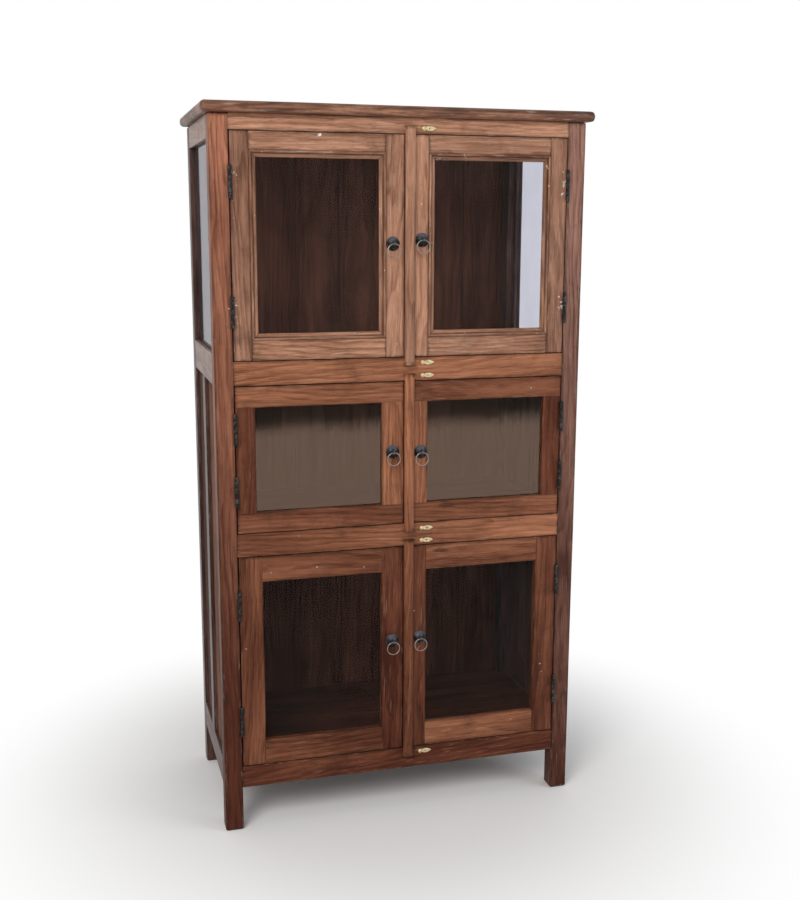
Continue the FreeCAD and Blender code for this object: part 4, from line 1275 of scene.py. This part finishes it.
def button_mesh(name, x, z):
    """A leaf-shaped brass plate with a screw hole and a small hole, its edges rounded."""
    neck = BUTTON_HALF * NECK_SHARE
    neck_reach = math.sqrt(TAIL_RADIUS ** 2 - neck ** 2)
    low_neck, high_neck, tip = (neck_reach, -neck), (neck_reach, neck), (TIP_REACH, 0.0)
    edge = arc_through(high_neck, (-TAIL_RADIUS, 0.0), low_neck, TAIL_STEPS)
    edge += arc_through(low_neck, (WIDEST_REACH, -BUTTON_HALF), tip, LEAF_STEPS)
    edge += arc_through(tip, (WIDEST_REACH, BUTTON_HALF), high_neck, LEAF_STEPS)
    lines = [edge]
    for reach, radius in BUTTON_HOLES:
        lines.append([(reach + u, v) for u, v in arc(radius, 0.0, math.tau, HOLE_STEPS)[:-1]])
    drawing = bpy.data.curves.new(name + "_drawing", "CURVE")
    drawing.dimensions = "2D"
    drawing.fill_mode = "BOTH"
    drawing.extrude = BUTTON_THICKNESS / 2 - BUTTON_ROUND
    drawing.bevel_depth = BUTTON_ROUND
    drawing.bevel_resolution = BUTTON_ROUND_STEPS
    drawing.offset = -BUTTON_ROUND
    for line in lines:
        spline = drawing.splines.new("POLY")
        spline.points.add(len(line) - 1)
        for point, (along, rise) in zip(spline.points, line):
            point.co = (along, rise, 0.0, 1.0)
        spline.use_cyclic_u = True
    mesh = evaluated(name, add(name + "_drawn", drawing))
    face = front_y - BUTTON_CLEARANCE - BUTTON_THICKNESS
    mesh.transform(Matrix.Rotation(math.pi / 2, 4, "X"))
    mesh.transform(Matrix.Translation((x, face + BUTTON_THICKNESS / 2, z)))
    clean(mesh, BUTTON_WELD)
    layer = mesh.attributes.new("wear", "FLOAT", "POINT")
    layer.data.foreach_set("value", [float(vertex.co.y < face + BUTTON_ROUND) for vertex in mesh.vertices])
    return mesh


def slotted_head(name, radius, height, slot_width, slot_depth):
    """A round head with a straight slot, standing on Z 0 and facing up."""
    work = Work("screw heads")
    foot = (radius * SCREW_FOOT_SHARES[0], height * SCREW_FOOT_SHARES[1])
    work.turned([foot] + dome(radius, height), (0, 0, 0), (0, 0, 1), SCREW_STEPS)
    head = add(name, work.mesh(name))
    slot = Work("slots")
    reach, half = radius * CUTTER_SHARE, slot_width / 2
    low, high = (-reach, -half, height - slot_depth), (reach, half, 2 * height)
    slot.board(low, high, X, slot_width * SLOT_ARRIS_SHARE)
    cutter = add(name + "_cutter", slot.mesh(name + "_cutter"))
    cut = head.modifiers.new("slot", "BOOLEAN")
    cut.operation = "DIFFERENCE"
    cut.solver = "EXACT"
    cut.object = cutter
    mesh = evaluated(name + "_cut", head)
    bpy.data.objects.remove(cutter)
    soften(mesh)
    return add(name + "_cut", mesh)


def fasteners(name, head, places, finish, body, slot, seed, *nodes):
    """One mesh of heads, each at its own place and facing its own way."""
    base = bpy.data.meshes.new(name + "_base")
    base.from_pydata([tuple(at) for at, way in places], [], [])
    layer = base.attributes.new("facing", "FLOAT_VECTOR", "POINT")
    layer.data.foreach_set("vector", [value for at, way in places for value in way])
    mesh = grown(name, heads, {"Head": head, "Seed": seed, "Material": finish}, base)
    place(name, mesh, finish, body, slot, *nodes)


toward_front = Vector((0.0, -1.0, 0.0))
button_screw = slotted_head("button_screw_head", *BUTTON_SCREW)
flat_screw = slotted_head("hinge_screw_head", *FLAT_SCREW)
nail = Work("nail head")
nail_profile = [NAIL_FOOT] + dome(NAIL_RADIUS, NAIL_HEIGHT, NAIL_DOME_STEPS)
nail.turned(nail_profile, (0, 0, 0), (0, 0, 1), NAIL_STEPS, [0.0] + [1.0] * NAIL_DOME_STEPS)
nail_head = add("nail_head", nail.mesh("nail_head"))

screw_y = front_y - 2 * BUTTON_CLEARANCE - BUTTON_THICKNESS
screw_places = []
for low, high in solids_of("turn_button_screws"):
    middle = (low + high) / 2
    screw_places.append((Vector((middle[X], screw_y, middle[Z])), toward_front))
fasteners(
    "turn_button_screws_worn", button_screw, screw_places, aged_brass, ROOT, "aged_brass",
    SEEDS["button screws"], "turn_button_screws")
for tier in TIERS:
    for end in ("top", "bottom"):
        name = tier + "_door_" + end + "_turn_button"
        x, y, z = joints[name + "_pivot"]
        place_worn(name, button_mesh(name + "_worn", x, z), aged_brass, name, "aged_brass")

# Nails driven in flush, by their place across and up the front
NAILS = {
    ROOT: ((-0.2695, 0.766), (0.3186, 0.768)),
    "lower_left_door": ((-0.341, 0.6766), (-0.225, 0.683), (-0.104, 0.6735), (-0.407, 0.485)),
    "middle_right_door": ((0.3376, 1.1146),),
    "upper_left_door": ((-0.0188, 1.236),),
}
for seed, (body, places) in enumerate(NAILS.items(), SEEDS["nails"]):
    heads_at = [(Vector((x, front_y, z)), toward_front) for x, z in places]
    fasteners(body + "_nails", nail_head, heads_at, worn_steel, body, "worn_steel", seed)

fasteners("post_hinge_screws", flat_screw, post_screws, black_iron, ROOT, "black_iron", SEEDS["post screws"])
for seed, (door, places) in enumerate(door_screws.items(), SEEDS["door screws"]):
    fasteners(door + "_hinge_screws", flat_screw, places, black_iron, door, "black_iron", seed)

for piece in (button_screw, flat_screw, nail_head):
    bpy.data.objects.remove(piece)

dress(frame["nodes"]["side_glass_panes"].data, side_glass)

# Camera, at the photograph's place
FOCAL_PIXELS = 1172.24
IMAGE_HEIGHT = 900
SENSOR = 36.0
YAW, PITCH, ROLL = 0.2766, 0.1897, 0.0032
EYE = Vector((-0.797, -2.9913, 1.5233))
lens = bpy.data.cameras.new("photo_camera")
lens.sensor_fit = "AUTO"
lens.sensor_width = SENSOR
lens.lens = SENSOR * FOCAL_PIXELS / IMAGE_HEIGHT
camera = add("photo_camera", lens)
aimed = Matrix.Rotation(-YAW, 4, "Z") @ Matrix.Rotation(math.pi / 2 - PITCH, 4, "X")
camera.matrix_world = Matrix.Translation(EYE) @ aimed @ Matrix.Rotation(ROLL, 4, "Z")
bpy.context.scene.camera = camera

# Studio
AMBIENT = 0.5
FLOOR_HALF = 14.0
SHADOW_NEAR, SHADOW_FAR = 0.4, 1.25
LAMP_AIM = Vector((0.0, 0.0, 0.9))
LAMP_SIZE = 2.4

world = bpy.data.worlds.new("studio")
bpy.context.scene.world = world
world.use_nodes = True
sky = Graph(world.node_tree)
strength = AMBIENT + sky.seen() * (1 - AMBIENT)
sky.join(world.node_tree.nodes["Background"], {"Color": WHITE, "Strength": strength})

for name, stand, power, colour in (
    ("key_light", (-2.6, -3.4, 3.4), 130.0, (1.0, 0.97, 0.93)),
    ("fill_light", (3.2, -2.6, 2.0), 40.0, (0.95, 0.97, 1.0)),
):
    lamp = bpy.data.lights.new(name, "AREA")
    lamp.shape = "DISK"
    lamp.size = LAMP_SIZE
    lamp.energy = power
    lamp.color = colour
    holder = add(name, lamp)
    holder.location = stand
    holder.rotation_euler = (LAMP_AIM - Vector(stand)).to_track_quat("-Z", "Y").to_euler()

floor_mesh = bpy.data.meshes.new("floor")
corners = [(x * FLOOR_HALF, y * FLOOR_HALF, 0) for x, y in ((-1, -1), (1, -1), (1, 1), (-1, 1))]
floor_mesh.from_pydata(corners, [], [(0, 1, 2, 3)])
floor = add("floor", floor_mesh)
ground = Finish("pale_floor")
ground.give({"Base Color": (0.86, 0.86, 0.86, 1.0), "Roughness": 0.9, "Specular IOR Level": 0.0})
distance = ground.length(ground.stretch(ground.spot, (1.0, 1.0, 0.0)))
white = ground.node("ShaderNodeEmission", {"Color": WHITE, "Strength": 1.0})
faded = ground.seen() * ground.ease(distance, SHADOW_NEAR, SHADOW_FAR)
ground.show(ground.mix_shaders(faded, ground.own, white))
dress(floor_mesh, ground.material)

bpy.context.scene.view_settings.view_transform = "Standard"
